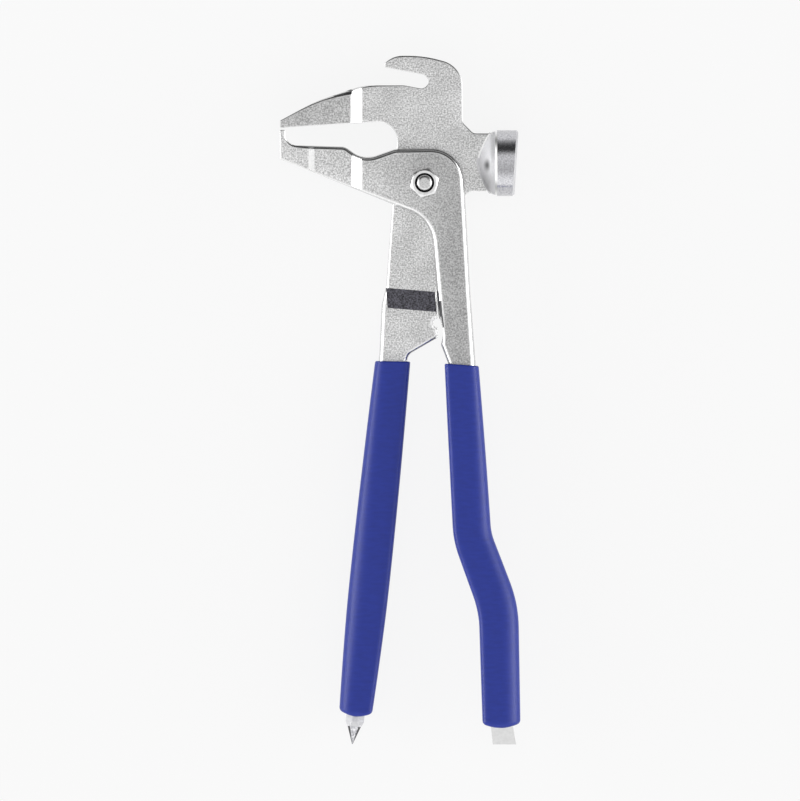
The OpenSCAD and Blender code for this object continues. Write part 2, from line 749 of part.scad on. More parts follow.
module pivot_bolt() {
    r = bolt_d / 2;
    rim = nut_seat + nut_h + bolt_proud;
    color([0.78, 0.78, 0.79])
        union() {
            translate([0, 0, back_low - bolt_head_h])
                hex_blank(bolt_head_h, [1, 0]);
            rotate_extrude($fn = round_fn)
                polygon([
                    [0, back_low - bolt_head_h / 2],
                    [r, back_low - bolt_head_h / 2],
                    [r, rim - thread_chamfer],
                    [r - thread_chamfer, rim],
                    [0, rim + bolt_crown]
                ]);
        }
}

module pivot_nut() {
    bore_r = bolt_d / 2 + nut_fit;
    color([0.82, 0.82, 0.82])
        translate([0, 0, nut_seat])
            difference() {
                hex_blank(nut_h, [0, 1]);
                rotate_extrude($fn = round_fn)
                    polygon([
                        [0, -past],
                        [bore_r, -past],
                        [bore_r, nut_h - thread_chamfer],
                        [bore_r + thread_chamfer, nut_h],
                        [bore_r + thread_chamfer, nut_h + past],
                        [0, nut_h + past]
                    ]);
            }
}

module left_sleeve() {
    color([0.2, 0.23, 0.55])
        sleeve(left_rings, left_bore, back_mid);
}

module right_sleeve() {
    color([0.2, 0.23, 0.55])
        sleeve(right_rings, right_bore, front_mid);
}

// Thin black band across the back lever, slanted square to its left edge
module marking_band() {
    left_x = x_on_line(knee, flare, -band_y) + band_left_margin;
    right_x = waist_x - band_right_margin;
    rise = (right_x - left_x) * tan(band_slant) / 2;
    lean = band_h * tan(band_slant) / 2;
    color([0.2, 0.2, 0.22])
        plate([
            [left_x - lean, -band_y - rise - band_h / 2],
            [right_x - lean, -band_y + rise - band_h / 2],
            [right_x + lean, -band_y + rise + band_h / 2],
            [left_x + lean, -band_y - rise + band_h / 2]
        ], back_top, back_top + band_t);
}

// Every piece is placed in the frame by the same shift
module placed() {
    translate(-origin)
        children();
}

placed() hammer_lever();
placed() claw_lever();
placed() pivot_bolt();
placed() pivot_nut();
placed() left_sleeve();
placed() right_sleeve();
placed() marking_band();
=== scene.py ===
"""Looks of the wheel weight pliers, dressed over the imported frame.

Lengths are in millimetres from the pivot: X towards the hammer, Y towards the hook, Z up from
the lap plane between the levers. Finished meshes are placed in the frame in metres.
"""

import json
import logging
import math
from collections.abc import Callable, Sequence
from dataclasses import dataclass, field
from enum import Enum

import bmesh
import bpy
from mathutils import Matrix, Vector


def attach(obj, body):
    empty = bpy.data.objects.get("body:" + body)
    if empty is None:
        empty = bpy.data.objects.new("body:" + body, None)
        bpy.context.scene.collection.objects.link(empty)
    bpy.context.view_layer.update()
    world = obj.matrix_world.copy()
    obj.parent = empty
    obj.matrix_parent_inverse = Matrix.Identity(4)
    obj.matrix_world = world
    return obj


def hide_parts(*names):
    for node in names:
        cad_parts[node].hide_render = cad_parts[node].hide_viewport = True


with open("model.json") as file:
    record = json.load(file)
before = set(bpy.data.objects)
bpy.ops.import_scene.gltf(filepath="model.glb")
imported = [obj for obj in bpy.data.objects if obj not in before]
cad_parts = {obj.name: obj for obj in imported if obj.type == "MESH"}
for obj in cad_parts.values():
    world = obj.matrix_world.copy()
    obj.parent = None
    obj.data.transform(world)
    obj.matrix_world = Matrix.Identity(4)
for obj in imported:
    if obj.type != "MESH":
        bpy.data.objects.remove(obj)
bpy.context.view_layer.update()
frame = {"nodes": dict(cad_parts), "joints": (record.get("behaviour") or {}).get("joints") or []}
MM = 0.001
PIVOT = Vector(frame["joints"][0]["pos_m"])
log = logging.getLogger("pliers")

MATH = "ShaderNodeMath"
VECTOR = "ShaderNodeVectorMath"
RANGE = "ShaderNodeMapRange"
NOISE = "ShaderNodeTexNoise"
MIX = "ShaderNodeMix"
JOIN_XYZ = "ShaderNodeCombineXYZ"
SPLIT_XYZ = "ShaderNodeSeparateXYZ"
# Operations of a table of sums that aren't Math nodes: kind of node, its inputs and its settings
OTHER_SUMS = {
    "RANGE": (RANGE, (0, 1, 2, 3, 4), {}),
    "SMOOTH": (RANGE, (0, 1, 2, 3, 4), {"interpolation_type": "SMOOTHSTEP"}),
    "MIX": (MIX, (0, 2, 3), {})}
WHITE = (1.0, 1.0, 1.0, 1.0)

Piece = bpy.types.Object
Material = bpy.types.Material
Tree = bpy.types.NodeTree
Socket = bpy.types.NodeSocket
Skin = bmesh.types.BMesh
# One corner of an outline: place, rounding radius and width of the broken edge there
Corner = tuple[float, float, float, float]
Place = tuple[float, float]

# Doubles of a skin lie closer together than this
DOUBLE = 1e-4
# Span that holds nearly all values of a noise texture
NOISE_SPAN = (0.3, 0.7)


class Body(Enum):
    """Bodies of the frame that a piece can ride on."""

    HAMMER = "hammer_side"
    CLAW = "claw_side"


class Slot(Enum):
    """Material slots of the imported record."""

    BACK = "back_forging"
    FRONT = "front_forging"
    BOLT = "bolt"
    NUT = "nut"
    SLEEVE = "sleeve"


class Cut(Enum):
    """What a boolean does with its tool."""

    AWAY = "DIFFERENCE"
    JOIN = "UNION"
    KEEP = "INTERSECT"


def linear(code: str) -> tuple[float, float, float, float]:
    """Turns an sRGB hex colour into Blender's linear colour.

    Args:
        code: Six hex digits after a hash sign.

    Returns:
        Linear red, green, blue and an alpha of one.
    """
    parts = [int(code[i:i + 2], 16) / 255 for i in (1, 3, 5)]
    red, green, blue = (p / 12.92 if p <= 0.04045 else ((p + 0.055) / 1.055) ** 2.4 for p in parts)
    return red, green, blue, 1.0


def add(tree: Tree, kind: str, inputs: dict | None = None, **settings: object) -> bpy.types.Node:
    """Adds a node with its settings, values and links.

    Args:
        tree: Tree that gets the node.
        kind: Blender's name for the node type.
        inputs: Input name or number, with a value or with the socket that feeds it.
        settings: Properties of the node itself.

    Returns:
        The new node.
    """
    node = tree.nodes.new(kind)
    for name, value in settings.items():
        setattr(node, name, value)
    for name, value in (inputs or {}).items():
        if isinstance(value, Socket):
            tree.links.new(value, node.inputs[name])
        else:
            node.inputs[name].default_value = value
    return node


def output(tree: Tree, kind: str, inputs: dict | None = None, **settings: object) -> Socket:
    """Adds a node as add does and gives its first output."""
    return add(tree, kind, inputs, **settings).outputs[0]


def reckon(tree: Tree, known: dict[str, Socket], rows: Sequence[tuple[str | float, ...]]) -> None:
    """Adds a table of sums to a tree.

    Args:
        tree: Tree that gets the nodes.
        known: Sockets by name, to which every result is added.
        rows: Name of each result, its operation, and the names or numbers that it takes.
    """
    for name, operation, *parts in rows:
        kind, places, settings = OTHER_SUMS.get(operation, (MATH, (0, 1, 2), {"operation": operation}))
        inputs = {i: known.get(part, part) for i, part in zip(places, parts)}
        known[name] = output(tree, kind, inputs, **settings)


def turned(p: Vector, degrees: float) -> Vector:
    """Turns a flat vector anticlockwise."""
    a = math.radians(degrees)
    return Vector((p.x * math.cos(a) - p.y * math.sin(a), p.x * math.sin(a) + p.y * math.cos(a)))


def polar(r: float, degrees: float) -> Vector:
    """Gives a flat vector from its length and angle."""
    return turned(Vector((r, 0)), degrees)


def arc(before: Vector, at: Vector, after: Vector, r: float, steps: int) -> list[Vector]:
    """Rounds a corner between its neighbours.

    Args:
        before: Neighbour before the corner.
        at: The corner.
        after: Neighbour after the corner.
        r: Rounding radius.
        steps: Number of steps along the arc.

    Returns:
        The arc's points, from the side of the first neighbour.
    """
    u = (before - at).normalized()
    v = (after - at).normalized()
    half = math.acos(max(-1.0, min(1.0, u.dot(v)))) / 2
    middle = at + (u + v).normalized() * (r / math.sin(half))
    start = at + u * (r / math.tan(half)) - middle
    sweep = math.pi - 2 * half
    side = 1 if u.x * v.y - u.y * v.x < 0 else -1
    return [middle + turned(start, side * math.degrees(sweep) * i / steps) for i in range(steps + 1)]


def bar_side(path: Sequence[Corner], side: int, widths: Sequence[float]) -> list[Corner]:
    """Gives one side of a bar along a path.

    Args:
        path: Corners of the middle line: place, bend radius and half width.
        side: 1 for the tool's right and -1 for its left.
        widths: Edge widths at the corners.

    Returns:
        Outline corners of that side, in the path's order.
    """
    flat = [Vector(p[:2]) for p in path]
    corners = []
    for i, (_, _, r, half) in enumerate(path):
        j, k = max(i, 1), min(i, len(path) - 2)
        before = (flat[j] - flat[j - 1]).normalized()
        after = (flat[k + 1] - flat[k]).normalized()
        normal = (turned(before, 90) + turned(after, 90)).normalized()
        place = flat[i] + side * normal * (half / normal.dot(turned(after, 90)))
        bend = -side if before.x * after.y - before.y * after.x > 0 else side
        corners.append((place.x, place.y, r + bend * half if r else 0.0, widths[i]))
    return corners


# Section of a broken edge: share of the edge width inwards and share of it down from the face.
# It rolls over to a facet, breaks there, and falls as a drafted wall to the parting line.
EDGE = ((1.0, 0.0), (0.86, 0.032), (0.72, 0.092), (0.5, 0.235), (0.42, 0.31), (0.2, 0.88), (0.0, 1.75))
# Share of the edge width that the drafted wall takes, and the edge widths at which it is gone and whole
WALL_SHARE = 0.42
WALL_WIDTHS = (0.6, 1.5)
WALL_LEAST = 0.1
# A normal's share along Z is below DRAFT on the wall, below FACET on the facets over it, and above
# FLAT on the flats. From LEAN on it leans to a side, and below SLIGHT hardly so.
SLIGHT, LEAN, DRAFT, FACET, FLAT = 0.2, 0.3, 0.6, 0.88, 0.985


def edge_share(share: float, width: float) -> float:
    """Adapts a share of an edge's width, because a narrow edge has hardly any drafted wall.

    Args:
        share: Share of the edge width in EDGE.
        width: Width of the edge.

    Returns:
        The share for an edge of this width.
    """
    gone, whole = WALL_WIDTHS
    wall = WALL_SHARE * min(1.0, max(WALL_LEAST, (width - gone) / (whole - gone)))
    if share <= WALL_SHARE:
        return share * wall / WALL_SHARE
    return 1 - (1 - share) * (1 - wall) / (1 - WALL_SHARE)


@dataclass(frozen=True)
class Outline:
    """Closed clockwise outline with rounded corners and an edge width at each corner."""

    corners: Sequence[Corner]
    step: float = 4.0
    least_r: float = 0.02

    def ring(self, share: float) -> list[tuple[Vector, float]]:
        """Draws the outline moved inwards by a share of its edge widths.

        Args:
            share: Share of each corner's edge width.

        Returns:
            Places with the edge width that holds there.
        """
        places = [Vector(c[:2]) for c in self.corners]
        count = len(places)
        moved, radii, counts = [], [], []
        for i, (_, _, r, width) in enumerate(self.corners):
            before = (places[i] - places[i - 1]).normalized()
            after = (places[(i + 1) % count] - places[i]).normalized()
            inwards = turned(before, -90) + turned(after, -90)
            inset = edge_share(share, width) * width
            moved.append(places[i] + inwards * (inset / (1 + before.dot(after))))
            convex = before.x * after.y - before.y * after.x < 0
            radii.append(max(r - inset, self.least_r) if convex else r + inset)
            counts.append(max(3, math.ceil(math.degrees(before.angle(after)) / self.step)))
        points = []
        for i, corner in enumerate(self.corners):
            if corner[2] > 0:
                bend = arc(moved[i - 1], moved[i], moved[(i + 1) % count], radii[i], counts[i])
                points += [(p, corner[3]) for p in bend]
            else:
                points.append((moved[i], corner[3]))
        return points


@dataclass(frozen=True)
class SideProfile:
    """Side of a forging as heights over its length, for a lever whose jaw leaves the plane."""

    knots: Sequence[tuple[float, float, float]]
    crease: float = 0.35
    ease: float = 0.25

    def eased(self) -> list[tuple[float, float, float]]:
        """Eases the bends of the profile.

        Returns:
            The knots with a small flat in place of each bend, by falling distance.
        """
        out = [self.knots[0]]
        for a, b, c in zip(self.knots, self.knots[1:], self.knots[2:]):
            beside = []
            for end in (a, c):
                t = self.crease / abs(end[0] - b[0])
                beside.append(tuple(b[k] + (end[k] - b[k]) * t for k in range(3)))
            near, far = beside
            low, high = (b[k] + self.ease * (near[k] + far[k] - 2 * b[k]) for k in (1, 2))
            out += [near, (b[0], low, high), far]
        out.append(self.knots[-1])
        return out

    def heights(self, x: float) -> tuple[float, float]:
        """Gives the low and high face at a place.

        Args:
            x: Place along the lever.

        Returns:
            Heights of the low and of the high face.
        """
        line = self.eased()
        if x >= line[0][0]:
            return line[0][1], line[0][2]
        for a, b in zip(line, line[1:]):
            if x >= b[0]:
                t = (a[0] - x) / (a[0] - b[0])
                return a[1] + (b[1] - a[1]) * t, a[2] + (b[2] - a[2]) * t
        return line[-1][1], line[-1][2]


def loft(rings: Sequence[Sequence[Vector]], first_cap: bool = True, last_cap: bool = True) -> Skin:
    """Joins rings of points to a closed skin.

    Args:
        rings: Rings with as many points each.
        first_cap: Whether the first ring is closed by a face.
        last_cap: Whether the last ring is closed by a face.

    Returns:
        The skin, with its normals outwards.
    """
    bm = bmesh.new()
    rows = [[bm.verts.new(p) for p in ring] for ring in rings]
    for a, b in zip(rows, rows[1:]):
        for k in range(len(a)):
            m = (k + 1) % len(a)
            bm.faces.new((a[k], a[m], b[m], b[k]))
    if first_cap:
        bm.faces.new(rows[0])
    if last_cap:
        bm.faces.new(reversed(rows[-1]))
    mended(bm)
    return bm


def mended(bm: Skin) -> None:
    """Merges a skin's doubles and turns its faces outwards."""
    bmesh.ops.remove_doubles(bm, verts=bm.verts[:], dist=DOUBLE)
    bmesh.ops.recalc_face_normals(bm, faces=bm.faces[:])


def revolved(profile: Sequence[Place], sides: int = 96, place: Matrix = Matrix.Identity(4)) -> Skin:
    """Turns a profile about its axis.

    Args:
        profile: Heights along the axis with radii, where a radius of nought is a pole.
        sides: Number of steps round the axis.
        place: Takes the axis, which is Z, to its place.

    Returns:
        The turned skin.
    """
    rings = []
    for height, r in profile:
        spots = [polar(r, 360 * k / sides) for k in range(sides)]
        rings.append([place @ Vector((p.x, p.y, height)) for p in spots])
    return loft(rings, profile[0][1] > 0, profile[-1][1] > 0)


def prism(points: Sequence[Vector], low: float, high: float) -> Skin:
    """Raises a flat outline between two heights."""
    return loft([[Vector((p.x, p.y, z)) for p in points] for z in (low, high)])


def linked(name: str, data: bpy.types.ID) -> Piece:
    """Puts a mesh, curve or camera into a new object of the scene."""
    piece = bpy.data.objects.new(name, data)
    bpy.context.scene.collection.objects.link(piece)
    return piece


def draft(name: str, bm: Skin) -> Piece:
    """Puts a skin into a new object, still in millimetres.

    Args:
        name: Name of the object.
        bm: The skin, which is freed.

    Returns:
        The linked object.
    """
    mesh = bpy.data.meshes.new(name)
    bm.to_mesh(mesh)
    bm.free()
    return linked(name, mesh)


def lifted(piece: Piece) -> Skin:
    """Turns a piece into a skin again.

    Args:
        piece: The piece, which is removed.

    Returns:
        The skin.
    """
    bm = bmesh.new()
    bm.from_mesh(piece.data)
    bpy.data.objects.remove(piece)
    return bm


def baked(piece: Piece) -> Piece:
    """Turns an object's modifiers into a plain mesh.

    Args:
        piece: Mesh or curve with modifiers.

    Returns:
        The same object for a mesh, and a new one in place of a curve.
    """
    graph = bpy.context.evaluated_depsgraph_get()
    mesh = bpy.data.meshes.new_from_object(piece.evaluated_get(graph))
    piece.modifiers.clear()
    if piece.type == "MESH":
        piece.data = mesh
        return piece
    solid = linked(piece.name + "_solid", mesh)
    bpy.data.objects.remove(piece)
    return solid


def carved(piece: Piece, tool: Skin, cut: Cut) -> Piece:
    """Cuts a piece with a tool, or joins the tool to it.

    Args:
        piece: The piece, in millimetres.
        tool: The tool's skin, which is used up.
        cut: What happens to the two.

    Returns:
        The same piece with its new mesh.
    """
    helper = draft("tool", tool)
    modifier = piece.modifiers.new("Cut", "BOOLEAN")
    modifier.operation = cut.value
    modifier.solver = "EXACT"
    modifier.object = helper
    baked(piece)
    bpy.data.objects.remove(helper)
    return piece


def placed(piece: Piece, finish: Material, sharp: float = 14.0) -> Piece:
    """Takes a finished piece into the frame, in metres, and smooths its shading.

    Args:
        piece: The piece, in millimetres from the pivot.
        finish: Finish of the whole piece, unless its mesh has finishes already.
        sharp: Angle in degrees from which an edge stays sharp.

    Returns:
        The same piece.
    """
    mesh = piece.data
    mesh.transform(Matrix.Translation(PIVOT) @ Matrix.Scale(MM, 4))
    if not mesh.materials:
        mesh.materials.append(finish)
    mesh.polygons.foreach_set("use_smooth", [True] * len(mesh.polygons))
    mesh.set_sharp_from_angle(angle=math.radians(sharp))
    mesh.update()
    return piece


def dressed(piece: Piece, node: str, body: Body) -> None:
    """Declares what a finished piece is.

    Args:
        piece: The piece, in the frame.
        node: Node that it stands for.
        body: Body that it rides on.
    """
    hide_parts(node)
    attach(piece, body.value)
    log.info("%s stands for %s on %s", piece.name, node, body.value)


def new_finish(name: str) -> tuple[Material, Tree, bpy.types.Node, Socket]:
    """Starts a material.

    Args:
        name: Name of the material.

    Returns:
        The material, its tree, its shader and the object's own coordinates.
    """
    material = bpy.data.materials.new(name)
    material.use_nodes = True
    tree = material.node_tree
    where = add(tree, "ShaderNodeTexCoord").outputs["Object"]
    return material, tree, tree.nodes["Principled BSDF"], where


def mottled(tree: Tree, tone: Socket, finish: "TumbledSteel | PlainFinish") -> Socket:
    """Mixes a finish's dark and light colour by a tone, which the mix keeps from nought to one."""
    colours = {0: tone, 6: linear(finish.dark), 7: linear(finish.light)}
    return add(tree, MIX, colours, data_type="RGBA").outputs[2]


def worked(tree: Tree, shader: bpy.types.Node, colour: Socket, pattern: Socket,
           finish: "TumbledSteel | PlainFinish") -> None:
    """Feeds a shader its colour, and the roughness and relief of a pattern.

    Args:
        tree: The material's tree.
        shader: The material's shader.
        colour: The colour.
        pattern: The pattern, from nought to one.
        finish: Gives the roughness, its spread, the relief's height and the metal's share.
    """
    known = {"pattern": pattern}
    least, most = finish.roughness - finish.spread, finish.roughness + finish.spread
    reckon(tree, known, [("rough", "RANGE", "pattern", 0.0, 1.0, least, most)])
    relief = output(tree, "ShaderNodeBump", {"Height": pattern, "Distance": finish.bump * MM})
    for name, socket in (("Base Color", colour), ("Roughness", known["rough"]), ("Normal", relief)):
        tree.links.new(socket, shader.inputs[name])
    shader.inputs["Metallic"].default_value = finish.metallic


@dataclass(frozen=True)
class TumbledSteel:
    """Forged carbon steel, blasted and tumbled: a satin grey with a fine grain of light and dark specks.

    The grain is drawn at about half a millimetre, coarser than the real one, so that it shows.
    """

    name: str
    light: str
    dark: str
    shade: float
    shade_from: float
    shade_to: float
    metallic: float = 1.0
    roughness: float = 0.42
    spread: float = 0.08
    grain: float = 0.6
    grain_span: Place = (0.36, 0.64)
    cloud: float = 9.0
    cloud_share: float = 0.1
    bump: float = 0.012

    def build(self) -> Material:
        """Makes the material, which darkens along the lever from one place to another.

        Returns:
            The material, with a pattern in object coordinates.
        """
        material, tree, shader, where = new_finish(self.name)
        grain = output(tree, NOISE, {"Vector": where, "Scale": 1 / (self.grain * MM), "Detail": 2.0,
                                     "Roughness": 0.6})
        cloud = output(tree, NOISE, {"Vector": where, "Scale": 1 / (self.cloud * MM), "Detail": 1.0})
        known = {"grain": grain, "cloud": cloud, "along": output(tree, SPLIT_XYZ, {0: where})}
        start, end = (PIVOT.x + x * MM for x in (self.shade_from, self.shade_to))
        reckon(tree, known, [
            ("speck", "RANGE", "grain", *self.grain_span),
            ("patch", "RANGE", "cloud", *NOISE_SPAN, -self.cloud_share, self.cloud_share),
            ("tone", "ADD", "speck", "patch"),
            ("shade", "SMOOTH", "along", start, end, 1.0, self.shade)])
        colour = mottled(tree, known["tone"], self)
        shaded = output(tree, VECTOR, {0: colour, "Scale": known["shade"]}, operation="SCALE")
        worked(tree, shader, shaded, grain, self)
        return material


@dataclass(frozen=True)
class PaintedShade:
    """Soft upright oval of painted shade, in which a finish is darker."""

    x: float
    y: float
    half_x: float
    half_y: float
    share: float

    def darken(self, tree: Tree, where: Socket, colour: Socket) -> Socket:
        """Leaves a share of a colour in the oval's middle.

        Args:
            tree: The material's tree.
            where: Object coordinates.
            colour: The colour outside the oval.

        Returns:
            The colour with the oval in it.
        """
        middle = (PIVOT.x + self.x * MM, PIVOT.y + self.y * MM, 0.0)
        sizes = (1 / (self.half_x * MM), 1 / (self.half_y * MM), 0.0)
        off = output(tree, VECTOR, {0: where, 1: middle}, operation="SUBTRACT")
        off = output(tree, VECTOR, {0: off, 1: sizes}, operation="MULTIPLY")
        known = {"off": add(tree, VECTOR, {0: off}, operation="LENGTH").outputs[1]}
        reckon(tree, known, [("dim", "SMOOTH", "off", 0.0, 1.0, self.share, 1.0)])
        return output(tree, VECTOR, {0: colour, "Scale": known["dim"]}, operation="SCALE")


@dataclass(frozen=True)
class PlainFinish:
    """Finish with a fine mottle: plating, ground or burnished steel, vinyl, printed ink, or painted
    highlight or shade.
    """

    name: str
    light: str
    dark: str
    metallic: float
    roughness: float
    mottle: float
    bump: float
    spread: float = 0.05
    gloss: float = 0.5
    stretch: tuple[float, float, float] = (1.0, 1.0, 1.0)
    painted_shades: tuple[PaintedShade, ...] = ()

    def build(self) -> Material:
        """Makes the material.

        Returns:
            The material, with a pattern in object coordinates.
        """
        material, tree, shader, where = new_finish(self.name)
        drawn = output(tree, "ShaderNodeMapping", {"Vector": where, "Scale": self.stretch})
        mottle = output(tree, NOISE, {"Vector": drawn, "Scale": 1 / (self.mottle * MM), "Detail": 2.0})
        known = {"mottle": mottle}
        reckon(tree, known, [("tone", "RANGE", "mottle", *NOISE_SPAN)])
        colour = mottled(tree, known["tone"], self)
        for shade_oval in self.painted_shades:
            colour = shade_oval.darken(tree, where, colour)
        worked(tree, shader, colour, mottle, self)
        shader.inputs["Specular IOR Level"].default_value = self.gloss
        return material


@dataclass(frozen=True)
class Lap:
    """How the two forgings lap on the bolt."""

    thickness: float = 7.0
    gap: float = 0.1
    bolt_d: float = 6.0
    bolt_fit: float = 0.05

    @property
    def back(self) -> tuple[float, float]:
        """Low and high face of the back lever."""
        return -self.gap / 2 - self.thickness, -self.gap / 2

    @property
    def front(self) -> tuple[float, float]:
        """Low and high face of the front lever."""
        return self.gap / 2, self.gap / 2 + self.thickness

    @property
    def jaw_offset(self) -> float:
        """Distance that each jaw is cranked to reach the middle plane."""
        return (self.thickness + self.gap) / 2

    def hole(self) -> Skin:
        """Makes the tool that drills the bolt's hole."""
        r = self.bolt_d / 2 + self.bolt_fit
        reach = 2 * self.thickness
        return revolved([(-reach, r), (reach, r)])


def forged(outline: Outline, low: float, high: float) -> Skin:
    """Makes a flat forging with broken edges on both faces and a parting line between them.

    Args:
        outline: Outline at the parting line.
        low: Height of the low face.
        high: Height of the high face.

    Returns:
        The forging's skin.
    """
    rings = []
    for share, drop in EDGE:
        rings.append([Vector((p.x, p.y, high - drop * w)) for p, w in outline.ring(share)])
    rings.append([Vector((p.x, p.y, (low + high) / 2)) for p, _ in outline.ring(0)])
    for share, drop in reversed(EDGE):
        rings.append([Vector((p.x, p.y, low + drop * w)) for p, w in outline.ring(share)])
    return loft(rings)


def split(bm: Skin, at: Vector, normal: Vector) -> None:
    """Cuts new edges into a skin where a plane crosses it."""
    geometry = bm.verts[:] + bm.edges[:] + bm.faces[:]
    bmesh.ops.bisect_plane(bm, geom=geometry, dist=DOUBLE, plane_co=at, plane_no=normal)


def cranked(bm: Skin, profile: SideProfile, low: float, high: float, handle_y: float = -20.0) -> None:
    """Bends the jaw's end of a flat forging to its side profile.

    Args:
        bm: The flat forging.
        profile: Heights of both faces along the lever.
        low: Height of the flat low face.
        high: Height of the flat high face.
        handle_y: Place below which the handle stays flat.
    """
    for x, _, _ in profile.eased()[1:-1]:
        split(bm, Vector((x, 0, 0)), Vector((1, 0, 0)))
    for vert in bm.verts:
        if vert.co.y > handle_y:
            base, top = profile.heights(vert.co.x)
            vert.co.z = base + (vert.co.z - low) / (high - low) * (top - base)
    bmesh.ops.triangulate(bm, faces=[face for face in bm.faces if len(face.verts) > 4])


def on_ramp(at: Vector, normal: Vector, ramp: Place) -> bool:
    """Tells whether a face lies on the ramp of a jaw's crank, between two places along the lever."""
    return ramp[1] < at.x < ramp[0] and abs(normal.x) > LEAN > abs(normal.y)


def finished(piece: Piece, finishes: Sequence[Material],
             choose: Callable[[Vector, Vector], Material]) -> None:
    """Gives each face of a piece one of several finishes.

    Args:
        piece: The piece, in millimetres.
        finishes: The finishes.
        choose: Picks a finish by a face's middle and its normal.
    """
    piece.data.materials.clear()
    for finish in finishes:
        piece.data.materials.append(finish)
    slots = {finish.name: i for i, finish in enumerate(finishes)}
    for face in piece.data.polygons:
        face.material_index = slots[choose(face.center, face.normal).name]


def made(finish: PlainFinish) -> Material:
    """Declares a field that holds a finish, built when its class is filled in."""
    return field(default_factory=finish.build)


@dataclass
class Finishes:
    """Finishes that the two forgings share."""

    # Edges burnished by tumbling: smoother than the flats, so they catch the side lights as clean lines
    burnished: Material = made(PlainFinish("burnished_edge", "#e2e2e2", "#d2d2d2", 1.0, 0.2, 0.8, 0.004))
    # Painted highlight round the notch, on the jaws' ramps and at the neck's crease: near-white from every
    # side
    painted_highlight: Material = made(PlainFinish("painted_highlight_edge", "#ffffff", "#f0f0f0", 0.3, 0.3, 0.8, 0.004))
    # Hammer head turned and lightly polished: a clear mirror with a trace of violet, with painted shade
    # darkening its middle
    head: Material = made(PlainFinish("polished_head", "#d5d5d8", "#b5b5b9", 1.0, 0.2, 0.7, 0.03,
                                      painted_shades=(PaintedShade(31.5, 5.0, 40.0, 6.6, 0.68),)))
    # Ring behind the head: a painted highlight, a thin white line, with painted shade towards its top and
    # bottom
    ring: Material = made(PlainFinish("painted_highlight_ring", "#ffffff", "#f4f4f4", 0.2, 0.3, 0.8, 0.004, painted_shades=(
        PaintedShade(27.5, 16.2, 6.0, 4.2, 0.25), PaintedShade(27.5, -1.6, 6.0, 4.0, 0.4))))
    # Neck's flare, pale and soft from the blasting, with painted shade: greyer below, a dark painted
    # reflection in its hollow, and dimmer ovals by the crease and on the face's bevel
    neck: Material = made(PlainFinish("blasted_neck_painted_shade", "#dcdcde", "#d2d2d5", 0.0, 0.5, 0.9, 0.004, painted_shades=(
        PaintedShade(24.1, 6.8, 1.9, 3.4, 0.14), PaintedShade(24.6, -0.5, 8.0, 8.5, 0.58),
        PaintedShade(27.0, 13.5, 3.6, 9.5, 0.72), PaintedShade(35.0, 7.7, 4.0, 60.0, 0.66))))
    # Ramp behind the claw: nearly white and even, a painted highlight
    relief: Material = made(PlainFinish("painted_highlight_relief", "#ebebeb", "#dcdcdc", 0.0, 0.5, 0.9, 0.004))
    # Collar over the point, dull from the grinding: light grey on every side
    collar: Material = made(PlainFinish("dull_collar", "#c0c0c2", "#b3b3b6", 0.0, 0.5, 0.9, 0.004))
    # Freshly ground steel of the blade: pale and even
    ground: Material = made(PlainFinish("ground_steel", "#d3d3d3", "#c9c9c9", 1.0, 0.35, 1.2, 0.002))
    # Coarsely ground flats of the point: middle grey with scratches along it
    point: Material = made(PlainFinish("coarse_ground_point", "#e6e6e8", "#7c7c84", 1.0, 0.4, 0.5, 0.02,
                                       stretch=(1.0, 0.4, 1.0)))
    # Draft of the stop: middle grey painted shade beside the clean edge
    rough: Material = made(PlainFinish("painted_mid_shade", "#8e8e92", "#7c7c80", 0.2, 0.55, 0.7, 0.006))
    # Nearly black painted shade in narrow drafts: on upper edges, beside the notch, between the levers and
    # on the point's flanks
    scale: Material = made(PlainFinish("painted_shade_black", "#444446", "#262628", 0.5, 0.5, 0.6, 0.01))


